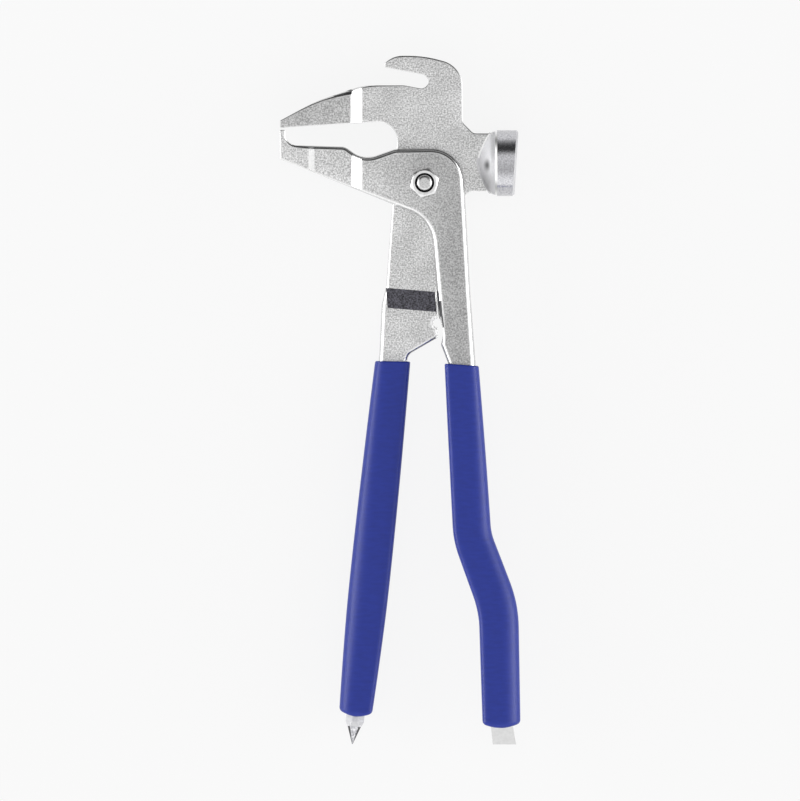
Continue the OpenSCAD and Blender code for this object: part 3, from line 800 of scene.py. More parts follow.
@dataclass
class HammerLever:
    """Back forging: upper jaw, hook with its slot, hammer head, notched shoulder and pointed handle end."""

    lap: Lap
    steel: Material
    finishes: Finishes
    # Upper jaw, a tapering nose with its crank and a dark painted shade wedge on its upper edge
    jaw_reach: float = 55.6
    bite_y: float = 21.2
    tip_h: float = 2.8
    tip_t: float = 4.6
    crown: Place = (-41.5, 31.7)
    nose_root_x: float = -23.5
    nose_edges: tuple[Place, ...] = ((-31.5, 1.8), (-28.4, 2.3))
    crank: Place = (-24.1, -28.3)
    crank_run: float = 6.0
    wedge: Place = (-27.3, -34.0)
    wedge_y: float = 30.0
    # Hook with its slanted slot
    head_top_y: float = 37.6
    slot: Place = (-1.3, 39.1)
    slot_r: float = 2.7
    slot_slope: float = 10.8
    hook_len: float = 14.9
    hook_tip_h: float = 1.9
    hook_top: Place = (0.2, 49.05)
    back_x: float = 14.6
    shoulder_y: float = 44.8
    # Neck and hammer head: the flare's knots are places along the axis with radii
    neck: Place = (19.1, -3.3)
    neck_web: float = 4.2
    neck_box: tuple[Place, Place] = ((15.0, -10.0), (30.0, 25.0))
    flare: tuple[Place, ...] = ((18.7, 0.0), (20.8, 3.5), (22.4, 6.6), (23.8, 9.3), (25.2, 11.45),
                                (26.2, 11.95), (27.0, 12.15), (28.0, 12.68))
    flare_end: float = 29.4
    flare_steps: int = 6
    head_sides: int = 144
    round_x: float = 28.3
    head_spare: float = 3.0
    rim_end: float = 26.2
    rim_w: float = 0.7
    rim_h: float = 0.12
    highlight_y: float = 9.6
    hammer_y: float = 7.7
    hammer_r: float = 12.7
    face_x: float = 35.4
    face_tilt: float = 3.5
    face_bevel: Place = (0.7, 1.0)
    face_sides: int = 32
    ring_sides: int = 128
    ring_spare: Place = (0.2, 1.0)
    neck_end: float = 3.6
    # Finishes change along the head at the flare's foot, the crease, the ring and the round part
    bands: tuple[float, float, float, float] = (19.0, 26.0, 27.1, 28.0)
    proud: float = 0.01
    face_square: float = 0.95
    rim_flat: float = 0.9487
    # Plate, waist and notched shoulder
    plate: Place = (14.8, -9.0)
    waist: Place = (5.1, -43.0)
    notch_r: float = 1.6
    notch_lip: float = 0.3
    notch_y: float = -53.9
    spur_y: float = -59.6
    spur: Place = (-13.0, -50.0)
    bright: Place = (1.0, -30.0)
    left_edge: tuple[Corner, ...] = ((-16.5, -47.0, 2.5, 1.7), (-14.7, -39.5, 7.0, 1.3),
                                     (-9.9, 24.1, 7.4, 0.5))
    # Shank and point: distance from the tip, half width, half depth, and the flats' shares of them
    root: Place = (-11.8, -65.6)
    point: Place = (-27.794, -216.002)
    root_w: float = 11.1
    tip_w: float = 7.3
    hidden_end: float = 14.0
    stations: tuple[tuple[float, ...], ...] = (
        (0.0, 0.14, 0.14, 0.6, 0.5), (6.75, 2.55, 2.6, 0.62, 0.1), (7.3, 2.95, 2.95, 0.5, 0.2),
        (8.7, 3.5, 3.45, 0.3, 0.3), (20.0, 3.55, 3.45, 0.3, 0.3))
    point_flat: float = 0.75

    @property
    def axis_z(self) -> float:
        """Height of the hammer head's axis, the forging's middle."""
        return sum(self.lap.back) / 2

    def in_slot(self, along: float, across: float) -> Vector:
        """Gives a place measured along and across the slot, from its closed end."""
        out = polar(1, 180 - self.slot_slope)
        return Vector(self.slot) + along * out + across * turned(out, -90)

    def on_nose(self, x: float) -> float:
        """Gives the height on the nose's straight upper edge, behind its crown."""
        run = (x - self.crown[0]) / (self.nose_root_x - self.crown[0])
        return self.crown[1] + (self.head_top_y - self.crown[1]) * run

    def shank(self) -> list[Corner]:
        """Gives the middle line of the shank.

        Returns:
            Its two corners, down to its end inside the sleeve.
        """
        down = (Vector(self.point) - Vector(self.root)).normalized()
        end = Vector(self.point) - down * self.hidden_end
        return [(*self.root, 0.0, self.root_w / 2), (end.x, end.y, 0.0, self.tip_w / 2)]

    def outline(self) -> Outline:
        """Draws the forging's outline.

        Returns:
            The outline, clockwise from the upper jaw's tip.
        """
        out = polar(1, 180 - self.slot_slope)
        rise = turned(out, -90)
        lip = self.in_slot((self.head_top_y - self.slot[1] + self.slot_r * rise.y) / out.y, -self.slot_r)
        tip = self.in_slot(self.hook_len, self.slot_r + self.hook_tip_h)
        mouth = self.in_slot(self.hook_len, self.slot_r)
        inner = [self.in_slot(-self.slot_r, side * self.slot_r) for side in (-1, 1)]
        right = bar_side(self.shank(), 1, (1.0, 1.2))
        left = bar_side(self.shank(), -1, (1.7, 1.7))
        notch_top, notch_low = self.notch_y + self.notch_r, self.notch_y - self.notch_r
        notch_x = self.waist[0] - self.notch_r
        notch_round = self.notch_r - self.notch_lip
        neck_x = self.face_x - self.neck_end
        return Outline([
            (-self.jaw_reach, self.bite_y, 0.4, 0.35),
            (-self.jaw_reach, self.bite_y + self.tip_h, 0.4, 0.7),
            (*self.crown, 60.0, 0.95),
            *((x, self.on_nose(x), 0.0, width) for x, width in self.nose_edges),
            (self.nose_root_x, self.head_top_y, 20.0, 0.8),
            (*lip, 7.0, 0.4),
            *((*p, self.slot_r, 0.35) for p in inner),
            (*mouth, 0.4, 0.35),
            (*tip, 0.4, 0.35),
            (tip.x + self.hook_top[1] - tip.y, self.hook_top[1], 10.0, 0.85),
            (*self.hook_top, 45.0, 0.85),
            (self.back_x, self.shoulder_y, 10.0, 0.7),
            (self.back_x, self.neck[0] + self.neck_web, 2.5, 0.5),
            (self.back_x + self.neck_web, self.neck[0], 2.5, 0.6),
            (neck_x, self.neck[0], 0.0, 0.8),
            (neck_x, self.neck[1], 0.0, 0.5),
            (self.plate[0], self.neck[1], 4.0, 0.5),
            (*self.plate, 7.0, 0.5),
            (*self.waist, 20.0, 1.2),
            (self.waist[0], notch_top, self.notch_lip, 1.3),
            (notch_x, notch_top, notch_round, 1.3),
            (notch_x, notch_low, notch_round, 1.3),
            (self.waist[0], notch_low, self.notch_lip, 1.2),
            (self.waist[0], self.spur_y, 0.9, 1.3),
            (*right[0][:2], 4.0, 1.5),
            right[1],
            *reversed(left),
            *self.left_edge,
        ])

    def head_profile(self) -> list[Place]:
        """Gives the hammer head's profile, with a flare drawn smoothly through its knots.

        Returns:
            Places along the axis with radii.
        """
        knots = (*self.flare, (self.flare_end, self.hammer_r))
        smooth = [knots[0]]
        for a, b, c, d in zip(knots, knots[1:], knots[2:], knots[3:]):
            for i in range(self.flare_steps):
                t = i / self.flare_steps
                smooth.append(tuple(
                    0.5 * (2 * b[k] + (c[k] - a[k]) * t + (2 * a[k] - 5 * b[k] + 4 * c[k] - d[k]) * t * t
                           + (3 * b[k] - a[k] - 3 * c[k] + d[k]) * t ** 3) for k in (0, 1)))
        smooth += [self.flare[-1], (self.round_x, self.hammer_r)]
        past = self.face_x + self.head_spare
        return [(x, min(r, self.hammer_r)) for x, r in smooth] + [(past, self.hammer_r), (past, 0.0)]

    def face_cut(self, inset: float, slope: float) -> Skin:
        """Makes the tool that cuts the striking face, or with a slope the ring round it.

        Args:
            inset: Distance of the ring's start from the head's round side.
            slope: Fall of the ring over the inset, or nought for the whole face.

        Returns:
            The tool's skin.
        """
        tilt = Matrix.Rotation(math.radians(-self.face_tilt), 4, "Z")
        across = Matrix.Rotation(math.pi / 2, 4, "Y")
        place = Matrix.Translation((self.face_x, self.hammer_y, self.axis_z)) @ tilt @ across
        wide = 2 * self.hammer_r
        if not slope:
            whole = [(0.0, 0.0), (0.0, wide), (wide, wide), (wide, 0.0)]
            return revolved(whole, self.face_sides, place)
        start, past = self.hammer_r - inset, self.hammer_r + self.ring_spare[0]
        over = self.ring_spare[1]
        ring = [(0.0, start), (-slope, past), (-slope, wide), (over, wide), (over, start)]
        return revolved(ring, self.ring_sides, place)

    def build(self) -> None:
        """Makes the forging with its hammer head, and its pointed end."""
        low, high = self.lap.back
        bm = forged(self.outline(), low, high)
        off = self.lap.jaw_offset
        slim = self.tip_t / 2
        cranked(bm, SideProfile([
            (self.crank[0] + self.crank_run, low, high),
            (self.crank[0], low, high),
            (self.crank[1], low + off, high + off),
            (-self.jaw_reach - 1, -slim, slim)]), low, high)
        lever = draft("hammer_forging", bm)
        axis = Matrix.Translation((0, self.hammer_y, self.axis_z)) @ Matrix.Rotation(math.pi / 2, 4, "Y")
        head = draft("head", revolved(self.head_profile(), self.head_sides, axis))
        carved(head, self.face_cut(0, 0), Cut.AWAY)
        carved(head, self.face_cut(*self.face_bevel), Cut.AWAY)
        # The rim is the flare drawn towards the pivot, as far as it stands proud of the flats; its upper
        # part carries the painted highlight
        shift = Matrix.Translation((-self.rim_w, 0, 0))
        foot = [(x, r) for x, r in self.head_profile() if x < self.rim_end]
        rim = draft("rim", revolved([*foot, (foot[-1][0], 0.0)], self.head_sides, shift @ axis))
        (x0, y0), (x1, y1) = self.neck_box
        box = [Vector(p) for p in ((x0, y0), (x0, y1), (x1, y1), (x1, y0))]
        carved(rim, prism(box, low - self.rim_h, high + self.rim_h), Cut.KEEP)
        for part in (rim, head):
            tool = lifted(part)
            split(tool, Vector((0, self.highlight_y, 0)), Vector((0, 1, 0)))
            carved(lever, tool, Cut.JOIN)
        carved(lever, self.lap.hole(), Cut.AWAY)
        looks = self.finishes
        finished(lever, (self.steel, looks.burnished, looks.painted_highlight, looks.scale, looks.neck, looks.head,
                         looks.ring), self.choose)
        dressed(placed(lever, self.steel), "hammer_lever", Body.HAMMER)
        self.build_point()

    def choose(self, at: Vector, normal: Vector) -> Material:
        """Picks the finish of a face of the forging.

        Args:
            at: Middle of the face.
            normal: The face's normal.

        Returns:
            The finish.
        """
        looks = self.finishes
        upright = abs(normal.z)
        foot_x, crease_x, ring_x, round_x = self.bands
        if at.x > round_x:
            return looks.neck if LEAN < normal.x < self.face_square else looks.head
        if at.x > ring_x:
            return looks.ring
        stands = abs(at.z - self.axis_z) - self.lap.thickness / 2
        if at.x > crease_x or at.x > foot_x and stands > self.proud:
            # The rim's upper flat faces carry the painted highlight
            painted_highlight = stands < self.rim_h + self.proud and upright > self.rim_flat and at.y > self.highlight_y
            return looks.painted_highlight if painted_highlight else looks.neck
        if upright > FLAT:
            return self.steel
        # The crank's ramp carries the painted highlight
        if on_ramp(at, normal, self.crank):
            return looks.painted_highlight
        # Painted shade on the wedge along the nose's upper edge and on the spur's edge
        on_wedge = self.wedge[1] < at.x < self.wedge[0] and at.y > self.wedge_y and normal.y > LEAN
        on_spur = at.x > self.spur[0] and at.y < self.spur[1] and normal.x > SLIGHT
        if upright > LEAN and (on_wedge and upright < FACET or on_spur and upright < DRAFT):
            return looks.scale
        # Edges of the waist and the notch carry the painted highlight
        return looks.painted_highlight if at.x > self.bright[0] and at.y < self.bright[1] else looks.burnished

    def build_point(self) -> None:
        """Makes the ground point with its shoulders and the flats that run up into the sleeve."""
        tip = Vector(self.point)
        up = (Vector(self.root) - tip).normalized()
        across = turned(up, -90)
        rings = []
        for s, wide, deep, flat, side in self.stations:
            half = [(flat, 1), (1, side), (1, -side), (flat, -1)]
            section = half + [(-a, -b) for a, b in half]
            spots = [(tip + up * s + across * a * wide, self.axis_z + b * deep) for a, b in section]
            rings.append([Vector((p.x, p.y, z)) for p, z in spots])
        piece = draft("handle_point", loft(rings))
        looks = self.finishes

        def choose(at: Vector, normal: Vector) -> Material:
            """Picks the collar's finish, or that of the point's flats or flanks."""
            # The point's flanks carry painted shade
            ground = looks.point if abs(normal.z) > self.point_flat else looks.scale
            return looks.collar if (at.xy - tip).dot(up) > self.stations[1][0] else ground

        finished(piece, (looks.collar, looks.point, looks.scale), choose)
        dressed(placed(piece, looks.collar), "hammer_lever", Body.HAMMER)


@dataclass
class ClawLever:
    """Front forging: lower jaw with its claw, boss, bent shank and flat prying blade."""

    lap: Lap
    steel: Material
    finishes: Finishes
    # Lower jaw with its claw, the jaw's crank and the ramp behind the claw
    jaw_reach: float = 55.6
    heel_y: float = 9.2
    heel_run: float = 12.1
    heel_slope: float = 0.401
    claw_top_y: float = 20.4
    claw_tip_w: float = 1.9
    floor_y: float = 14.6
    crank: Place = (-24.1, -28.0)
    crank_run: float = 6.0
    relief: float = 1.2
    relief_rise: float = 0.9
    claw_back: Place = (-42.3, -44.7)
    throat: tuple[Corner, ...] = ((-43.5, 14.4, 0.0, 1.5), (-30.6, 14.0, 4.5, 1.5), (-23.3, 8.9, 9.4, 1.8),
                                  (-11.4, 13.1, 6.0, 1.8))
    jaw_y: float = 5.0
    throat_lean: float = 0.4
    relief_flat: float = 0.8
    # Boss round the bolt, and the stop on the handle's inner side with its two drafts
    boss: tuple[Corner, ...] = ((14.6, 13.4, 12.8, 1.8), (17.6, -42.0, 60.0, 1.8))
    stop: tuple[Corner, ...] = ((6.35, -62.3, 1.2, 1.65), (7.3, -58.3, 2.5, 0.9), (7.0, -55.8, 1.5, 0.95),
                                (5.45, -51.3, 6.0, 2.2), (5.0, -45.5, 0.0, 2.1), (2.5, -14.1, 14.0, 1.7))
    stop_x: float = 12.0
    # Span of the stop's draft with dark painted shade between the levers
    shade_crescent: Place = (-55.6, -45.5)
    # Span and upright limit of the middle grey painted shade on the stop's draft
    rough: Place = (-71.0, -59.0)
    mid_shade_top: float = 0.78
    # Shank with its two bends, and the blade
    right_root: Place = (14.4, -69.4)
    upper_bend: Place = (18.4, -136.4)
    lower_bend: Place = (28.5, -163.5)
    blade_root: Place = (29.598, -207.496)
    widths: tuple[float, float, float, float] = (10.4, 9.0, 9.0, 8.5)
    bends: Place = (31.0, 45.0)
    blade_len: float = 8.6
    blade_lean: float = 8.0
    blade_tip_w: float = 9.0
    blade_edge: float = 1.6

    @property
    def blade_tip(self) -> Vector:
        """Middle of the blade's edge."""
        lean = math.tan(math.radians(self.blade_lean))
        return Vector(self.blade_root) + self.blade_len * Vector((lean, -1))

    def shank(self) -> list[Corner]:
        """Gives the middle line of the shank.

        Returns:
            Its corners down to the blade's root.
        """
        places = (self.right_root, self.upper_bend, self.lower_bend, self.blade_root)
        radii = (0.0, *self.bends, 0.0)
        return [(*p, r, w / 2) for p, r, w in zip(places, radii, self.widths)]

    def outline(self) -> Outline:
        """Draws the forging's outline.

        Returns:
            The outline, clockwise from the claw's heel.
        """
        tip = self.blade_tip
        half = self.blade_tip_w / 2
        inner_x = -self.jaw_reach + self.claw_tip_w
        return Outline([
            (-self.jaw_reach, self.heel_y, 0.9, 0.9),
            (-self.jaw_reach, self.claw_top_y, 0.4, 0.35),
            (inner_x, self.claw_top_y, 0.4, 0.35),
            (inner_x, self.floor_y, 4.7, 0.9),
            *self.throat,
            *self.boss,
            *bar_side(self.shank(), 1, (2.0, 1.8, 1.6, 0.5)),
            (tip.x + half, tip.y, 0.0, 0.25),
            (tip.x - half, tip.y, 0.0, 0.25),
            *reversed(bar_side(self.shank(), -1, (1.5, 1.3, 1.3, 0.5))),
            *self.stop,
            (-self.jaw_reach + self.heel_run, self.heel_y - self.heel_run * self.heel_slope, 0.0, 0.7),
        ])

    def build(self) -> None:
        """Makes the forging with its claw and its blade."""
        low, high = self.lap.front
        bm = forged(self.outline(), low, high)
        off = self.lap.jaw_offset
        thin = high - off - self.relief
        cranked(bm, SideProfile([
            (self.crank[0] + self.crank_run, low, high),
            (self.crank[0], low, high),
            (self.crank[1], low - off, thin + self.relief_rise),
            (self.claw_back[0], low - off, thin),
            (self.claw_back[1], low - off, high - off),
            (-self.jaw_reach - 1, low - off, high - off)]), low, high)
        down = (self.blade_tip - Vector(self.blade_root)).normalized()
        root = Vector((*self.blade_root, 0))
        split(bm, root, Vector((down.x, down.y, 0)))
        middle = (low + high) / 2
        lost = 1 - self.blade_edge / (high - low)
        for vert in bm.verts:
            run = (vert.co.xy - root.xy).dot(down)
            if run > 0 and vert.co.y < self.lower_bend[1]:
                vert.co.z = middle + (vert.co.z - middle) * (1 - lost * run / self.blade_len)
        lever = carved(draft("claw_forging", bm), self.lap.hole(), Cut.AWAY)
        looks = self.finishes
        finished(lever, (self.steel, looks.burnished, looks.scale, looks.ground, looks.painted_highlight, looks.rough,
                         looks.relief), self.choose)
        dressed(placed(lever, self.steel), "claw_lever", Body.CLAW)

    def choose(self, at: Vector, normal: Vector) -> Material:
        """Picks the finish of a face of the forging.

        Args:
            at: Middle of the face.
            normal: The face's normal.

        Returns:
            The finish.
        """
        looks = self.finishes
        upright = abs(normal.z)
        if at.y < self.blade_root[1]:
            return looks.ground
        if upright > FLAT:
            return self.steel
        # The crank's ramp carries the painted highlight
        if on_ramp(at, normal, self.crank):
            return looks.painted_highlight
        # The step behind the claw carries the painted highlight
        behind = self.claw_back[1] < at.x < self.claw_back[0] and abs(normal.y) < SLIGHT
        if behind and upright > self.relief_flat:
            return looks.relief
        # Upper edges of the jaw carry painted shade
        if at.y > self.jaw_y:
            return looks.scale if normal.y > self.throat_lean and LEAN < upright < DRAFT else looks.burnished
        # Dark painted shade between the levers, on the stop's draft
        if at.x < self.stop_x and normal.x < -SLIGHT:
            if self.shade_crescent[0] < at.y < self.shade_crescent[1] and LEAN < upright < FACET:
                return looks.scale
            # Middle grey painted shade lower on the stop's draft
            if self.rough[0] < at.y < self.rough[1] and upright < self.mid_shade_top:
                return looks.rough
        return looks.burnished


def shape_tree(name: str, sizes: dict[str, object]) -> tuple[Tree, dict[str, Socket]]:
    """Starts a Geometry Nodes tree with a named input for each size.

    Args:
        name: Name of the tree.
        sizes: Lengths, whole numbers or a material by name.

    Returns:
        The tree, and its inputs by name.
    """
    tree = bpy.data.node_groups.new(name, "GeometryNodeTree")
    tree.interface.new_socket("Geometry", in_out="INPUT", socket_type="NodeSocketGeometry")
    for size, value in sizes.items():
        kind = "Material" if isinstance(value, Material) else "Int" if isinstance(value, int) else "Float"
        tree.interface.new_socket(size, in_out="INPUT", socket_type="NodeSocket" + kind)
    tree.interface.new_socket("Geometry", in_out="OUTPUT", socket_type="NodeSocketGeometry")
    given = add(tree, "NodeGroupInput").outputs
    return tree, {size: given[size] for size in ("Geometry", *sizes)}


def end_tree(tree: Tree, shape: Socket, finish: Socket) -> None:
    """Ends a tree with real geometry that has its finish."""
    real = output(tree, "GeometryNodeRealizeInstances", {0: shape})
    add(tree, "NodeGroupOutput", {0: output(tree, "GeometryNodeSetMaterial", {0: real, "Material": finish})})


def grown(carrier: Piece, tree: Tree, sizes: dict[str, object]) -> Piece:
    """Runs a tree on its carrier and keeps the plain mesh.

    Args:
        carrier: Object that the tree runs on.
        tree: The tree.
        sizes: Values of the tree's inputs by name.

    Returns:
        The object with the mesh, its doubles merged and its faces outwards.
    """
    modifier = carrier.modifiers.new(tree.name, "NODES")
    modifier.node_group = tree
    for item in tree.interface.items_tree:
        if item.name in sizes:
            modifier[item.identifier] = sizes[item.name]
    piece = baked(carrier)
    bm = bmesh.new()
    bm.from_mesh(piece.data)
    mended(bm)
    bm.to_mesh(piece.data)
    bm.free()
    return piece


# A hexagon's half angle in degrees, which is also the slope of the cone that cuts its corners back
HEX_SLOPE = 30.0
# Distance of the cut's start inside the flats, and how far the cutting tool reaches past the blank
HEX_LAND = 0.3
HEX_SPARE = 1.0


def hexagon(flats: float, turn: float, low: float, high: float, low_cut: bool, high_cut: bool) -> Skin:
    """Makes a hexagon blank whose corners are cut back by a cone.

    Args:
        flats: Width across flats.
        turn: Turn about the axis, in degrees.
        low: Height of the low end.
        high: Height of the high end.
        low_cut: Whether the low end is cut back.
        high_cut: Whether the high end is cut back.

    Returns:
        The blank's skin.
    """
    slope = math.radians(HEX_SLOPE)
    corner = flats / 2 / math.cos(slope)
    ring, far = flats / 2 - HEX_LAND, corner + HEX_SPARE
    fall = (far - ring) * math.tan(slope)
    blank = draft("blank", prism([polar(corner, turn + 60 * k) for k in range(6)], low, high))
    ends = []
    for end, cut, out in ((low, low_cut, -1), (high, high_cut, 1)):
        closed = [(end, 0.0), (end, ring), (end - out * fall, far)]
        past = end + out * HEX_SPARE
        ends.append(closed if cut else [(past, 0.0), (past, far)])
    carved(blank, revolved(ends[0] + ends[1][::-1]), Cut.KEEP)
    return lifted(blank)


@dataclass
class PivotBolt:
    """Bolt with a domed end, a rolled thread under the nut and a hexagon head behind."""

    lap: Lap
    plated: Material
    across_flats: float = 10.0
    head_h: float = 4.0
    turn: float = 16.0
    end_r: float = 2.88
    rim_h: float = 0.9
    rim_side: float = 0.5
    top: float = 13.35
    core_r: float = 2.6
    pitch: float = 1.0
    turns: float = 5.0
    ridge: float = 0.42
    sink: float = 0.02
    start: float = 0.3
    turn_steps: int = 48
    ridge_sides: int = 3
    # Shares of the end's radius and of the rim's height: a rolled rim round a slightly sunk middle
    rolled: tuple[Place, ...] = ((1.0, 1.0), (0.98, 0.75), (0.92, 0.5), (0.82, 0.28), (0.7, 0.12),
                                 (0.58, 0.03), (0.46, 0.0), (0.3, 0.04), (0.0, 0.06))

    def build(self) -> None:
        """Makes the bolt and its thread."""
        low = self.lap.back[0]
        r = self.lap.bolt_d / 2
        seat = self.lap.front[1]
        rim = self.top - self.rim_h - self.rim_side
        dome = [(self.top - drop * self.rim_h, share * self.end_r) for share, drop in self.rolled]
        inside = low - self.head_h / 2
        bolt = draft("pivot_bolt_piece", revolved([
            (inside, 0.0), (inside, r), (seat, r), (seat, self.core_r),
            (rim, self.core_r), (rim, self.end_r), *dome]))
        carved(bolt, hexagon(self.across_flats, self.turn, low - self.head_h, low, True, False), Cut.JOIN)
        dressed(placed(bolt, self.plated), "pivot_bolt", Body.HAMMER)
        self.build_thread(seat)

    def build_thread(self, seat: float) -> None:
        """Winds the thread's ridge round the core by Geometry Nodes.

        Args:
            seat: Height of the face that the nut sits on.
        """
        sizes = {"Turns": self.turns, "Core Radius": self.core_r - self.sink, "Start": seat + self.start,
                 "Height": self.pitch * self.turns, "Ridge": self.ridge, "Material": self.plated}
        tree, given = shape_tree("thread_ridge", sizes)
        spiral = output(tree, "GeometryNodeCurveSpiral", {
            "Resolution": self.turn_steps, "Rotations": given["Turns"], "Start Radius": given["Core Radius"],
            "End Radius": given["Core Radius"], "Height": given["Height"]})
        section = output(tree, "GeometryNodeCurvePrimitiveCircle",
                         {"Resolution": self.ridge_sides, "Radius": given["Ridge"]})
        ridge = output(tree, "GeometryNodeCurveToMesh", {0: spiral, 1: section, "Fill Caps": True})
        lift = output(tree, JOIN_XYZ, {2: given["Start"]})
        moved = output(tree, "GeometryNodeTransform", {0: ridge, "Translation": lift})
        end_tree(tree, moved, given["Material"])
        thread = grown(draft("bolt_thread", bmesh.new()), tree, sizes)
        dressed(placed(thread, self.plated), "pivot_bolt", Body.HAMMER)


@dataclass
class PivotNut:
    """Bright plated hexagon nut with a countersunk mouth."""

    lap: Lap
    zinc: Material
    thread_shade: Material
    across_flats: float = 10.0
    height: float = 5.0
    turn: float = 16.0
    mouth_r: float = 3.75
    mouth_depth: float = 0.9
    lip: Place = (0.08, 0.1)
    bore_r: float = 3.02
    bore_flat: float = 0.9

    def build(self) -> None:
        """Makes the nut."""
        seat = self.lap.front[1] + self.lap.gap
        top = seat + self.height
        nut = draft("pivot_nut_piece", hexagon(self.across_flats, self.turn, seat, top, False, True))
        under, over = seat - 1, top + 1
        bore = [(under, 0.0), (under, self.bore_r), (top - self.mouth_depth, self.bore_r),
                (top - self.lip[1], self.mouth_r - self.lip[0]), (top, self.mouth_r), (over, self.mouth_r),
                (over, 0.0)]
        carved(nut, revolved(bore), Cut.AWAY)
        finished(nut, (self.zinc, self.thread_shade), self.choose)
        dressed(placed(nut, self.zinc), "pivot_nut", Body.HAMMER)

    def choose(self, at: Vector, normal: Vector) -> Material:
        """Picks the painted shade for the bore and its mouth, and zinc elsewhere."""
        inside = math.hypot(*at.xy) < self.mouth_r and abs(normal.z) < self.bore_flat
        return self.thread_shade if inside else self.zinc


@dataclass
class Sleeve:
    """Soft sleeve on one shank: a squarish tube that swells to its middle, with a rounded lower rim."""

    node: str
    body: Body
    path: Sequence[Corner]
    middle: float
    bare: float
    length: float
    walls: tuple[float, float, float]
    shift: float
    slant: float
    outer_side: float
    vinyl: Material
    lap: Lap
    fit: float = 0.05
    face_wall: float = 2.4
    rim_r: float = 2.2
    mouth_r: float = 0.6
    end_bow: float = 1.0
    # Squareness of the section, of which 2 is round
    inner_squareness: float = 5.5
    mouth_squareness: float = 2.9
    outer_squareness: float = 1.9
    # Shares of the length at which the wall's loss at the mouth and at the end is gone, and its power
    swell: Place = (0.67, 0.7)
    swell_power: float = 1.5
    # Reach of the mouth's shift and slant, and of the end's bow
    reaches: tuple[float, float, float] = (40.0, 25.0, 12.0)
    rings: int = 200
    sides: int = 56
    bend_steps: int = 12
    run_on: float = 8.6
    sharp_angle: float = 32.0

    def middle_line(self) -> tuple[list[Vector], list[float]]:
        """Draws the shank's middle line with rounded bends.

        Returns:
            Points along the line, and the shank's half width at each.
        """
        flat = [Vector(c[:2]) for c in self.path]
        points = [flat[0]]
        for i in range(1, len(flat) - 1):
            points += arc(flat[i - 1], flat[i], flat[i + 1], self.path[i][2], self.bend_steps)
        points += [flat[-1], flat[-1] + (flat[-1] - flat[-2]).normalized() * self.run_on]
        fine = []
        for a, b in zip(points, points[1:]):
            steps = max(1, math.ceil((b - a).length))
            fine += [a.lerp(b, i / steps) for i in range(steps)]
        fine.append(points[-1])
        marks = [0.0]
        for a, b in zip(flat, flat[1:]):
            marks.append(marks[-1] + (b - a).length)
        halves, run = [], 0.0
        for i, p in enumerate(fine):
            run += (p - fine[i - 1]).length if i else 0.0
            k = max(j for j in range(len(marks) - 1) if run >= marks[j])
            t = min(1.0, (run - marks[k]) / (marks[k + 1] - marks[k]))
            halves.append(self.path[k][3] + (self.path[k + 1][3] - self.path[k][3]) * t)
        return fine, halves

    def sizes(self) -> dict[str, object]:
        """Gives the named sizes that the sleeve's tree takes."""
        return {"Bare": self.bare, "Length": self.length, "Fit": self.fit, "Face Wall": self.face_wall,
                "Mouth Wall": self.walls[0], "Middle Wall": self.walls[1], "End Wall": self.walls[2],
                "Mouth Swell": self.swell[0], "End Swell": self.swell[1], "Swell Power": self.swell_power,
                "Half Depth": self.lap.thickness / 2, "Rim Radius": self.rim_r, "Mouth Radius": self.mouth_r,
                "Inner Squareness": self.inner_squareness, "Mouth Squareness": self.mouth_squareness,
                "Outer Squareness": self.outer_squareness, "Outer Side": self.outer_side,
                "Shift Reach": self.reaches[0], "Slant Reach": self.reaches[1], "Bow Reach": self.reaches[2],
                "End Bow": self.end_bow, "Mouth Shift": self.shift,
                "Mouth Slant": math.tan(math.radians(self.slant)),
                "Rings": self.rings, "Sides": self.sides, "Material": self.vinyl}

    def bore(self) -> Skin:
        """Makes the tool that hollows the sleeve.

        Returns:
            Skin of a bar a fit wider than the shank.
        """
        start = Vector(self.path[0][:2]) - (Vector(self.path[1][:2]) - Vector(self.path[0][:2])).normalized()
        end = Vector(self.path[-1][:2])
        end += (end - Vector(self.path[-2][:2])).normalized() * self.run_on * 2
        line = [(*start, 0.0, self.path[0][3]), *self.path[1:-1], (*end, 0.0, self.path[-1][3])]
        line = [(x, y, r, half + self.fit) for x, y, r, half in line]
        none = [0.0] * len(line)
        ring = Outline([*bar_side(line, 1, none), *reversed(bar_side(line, -1, none))]).ring(0)
        deep = self.lap.thickness / 2 + self.fit
        return prism([p for p, _ in ring], self.middle - deep, self.middle + deep)

    def build(self) -> None:
        """Makes the sleeve over its shank."""
        line, halves = self.middle_line()
        curve = bpy.data.curves.new(self.node + "_line", "CURVE")
        curve.dimensions = "3D"
        spline = curve.splines.new("POLY")
        spline.points.add(len(line) - 1)
        for point, p, half in zip(spline.points, line, halves):
            point.co = (p.x, p.y, self.middle, 1)
            point.radius = half
        piece = grown(linked(self.node + "_carrier", curve), self.tree(), self.sizes())
        piece.name = self.node + "_piece"
        carved(piece, self.bore(), Cut.AWAY)
        dressed(placed(piece, self.vinyl, self.sharp_angle), self.node, self.body)

    def tree(self) -> Tree:
        """Builds the tree that draws the sleeve along the shank's middle line.

        Returns:
            The tree, with an input for each of the sleeve's sizes.
        """
        tree, known = shape_tree("sleeve_over_shank", self.sizes())
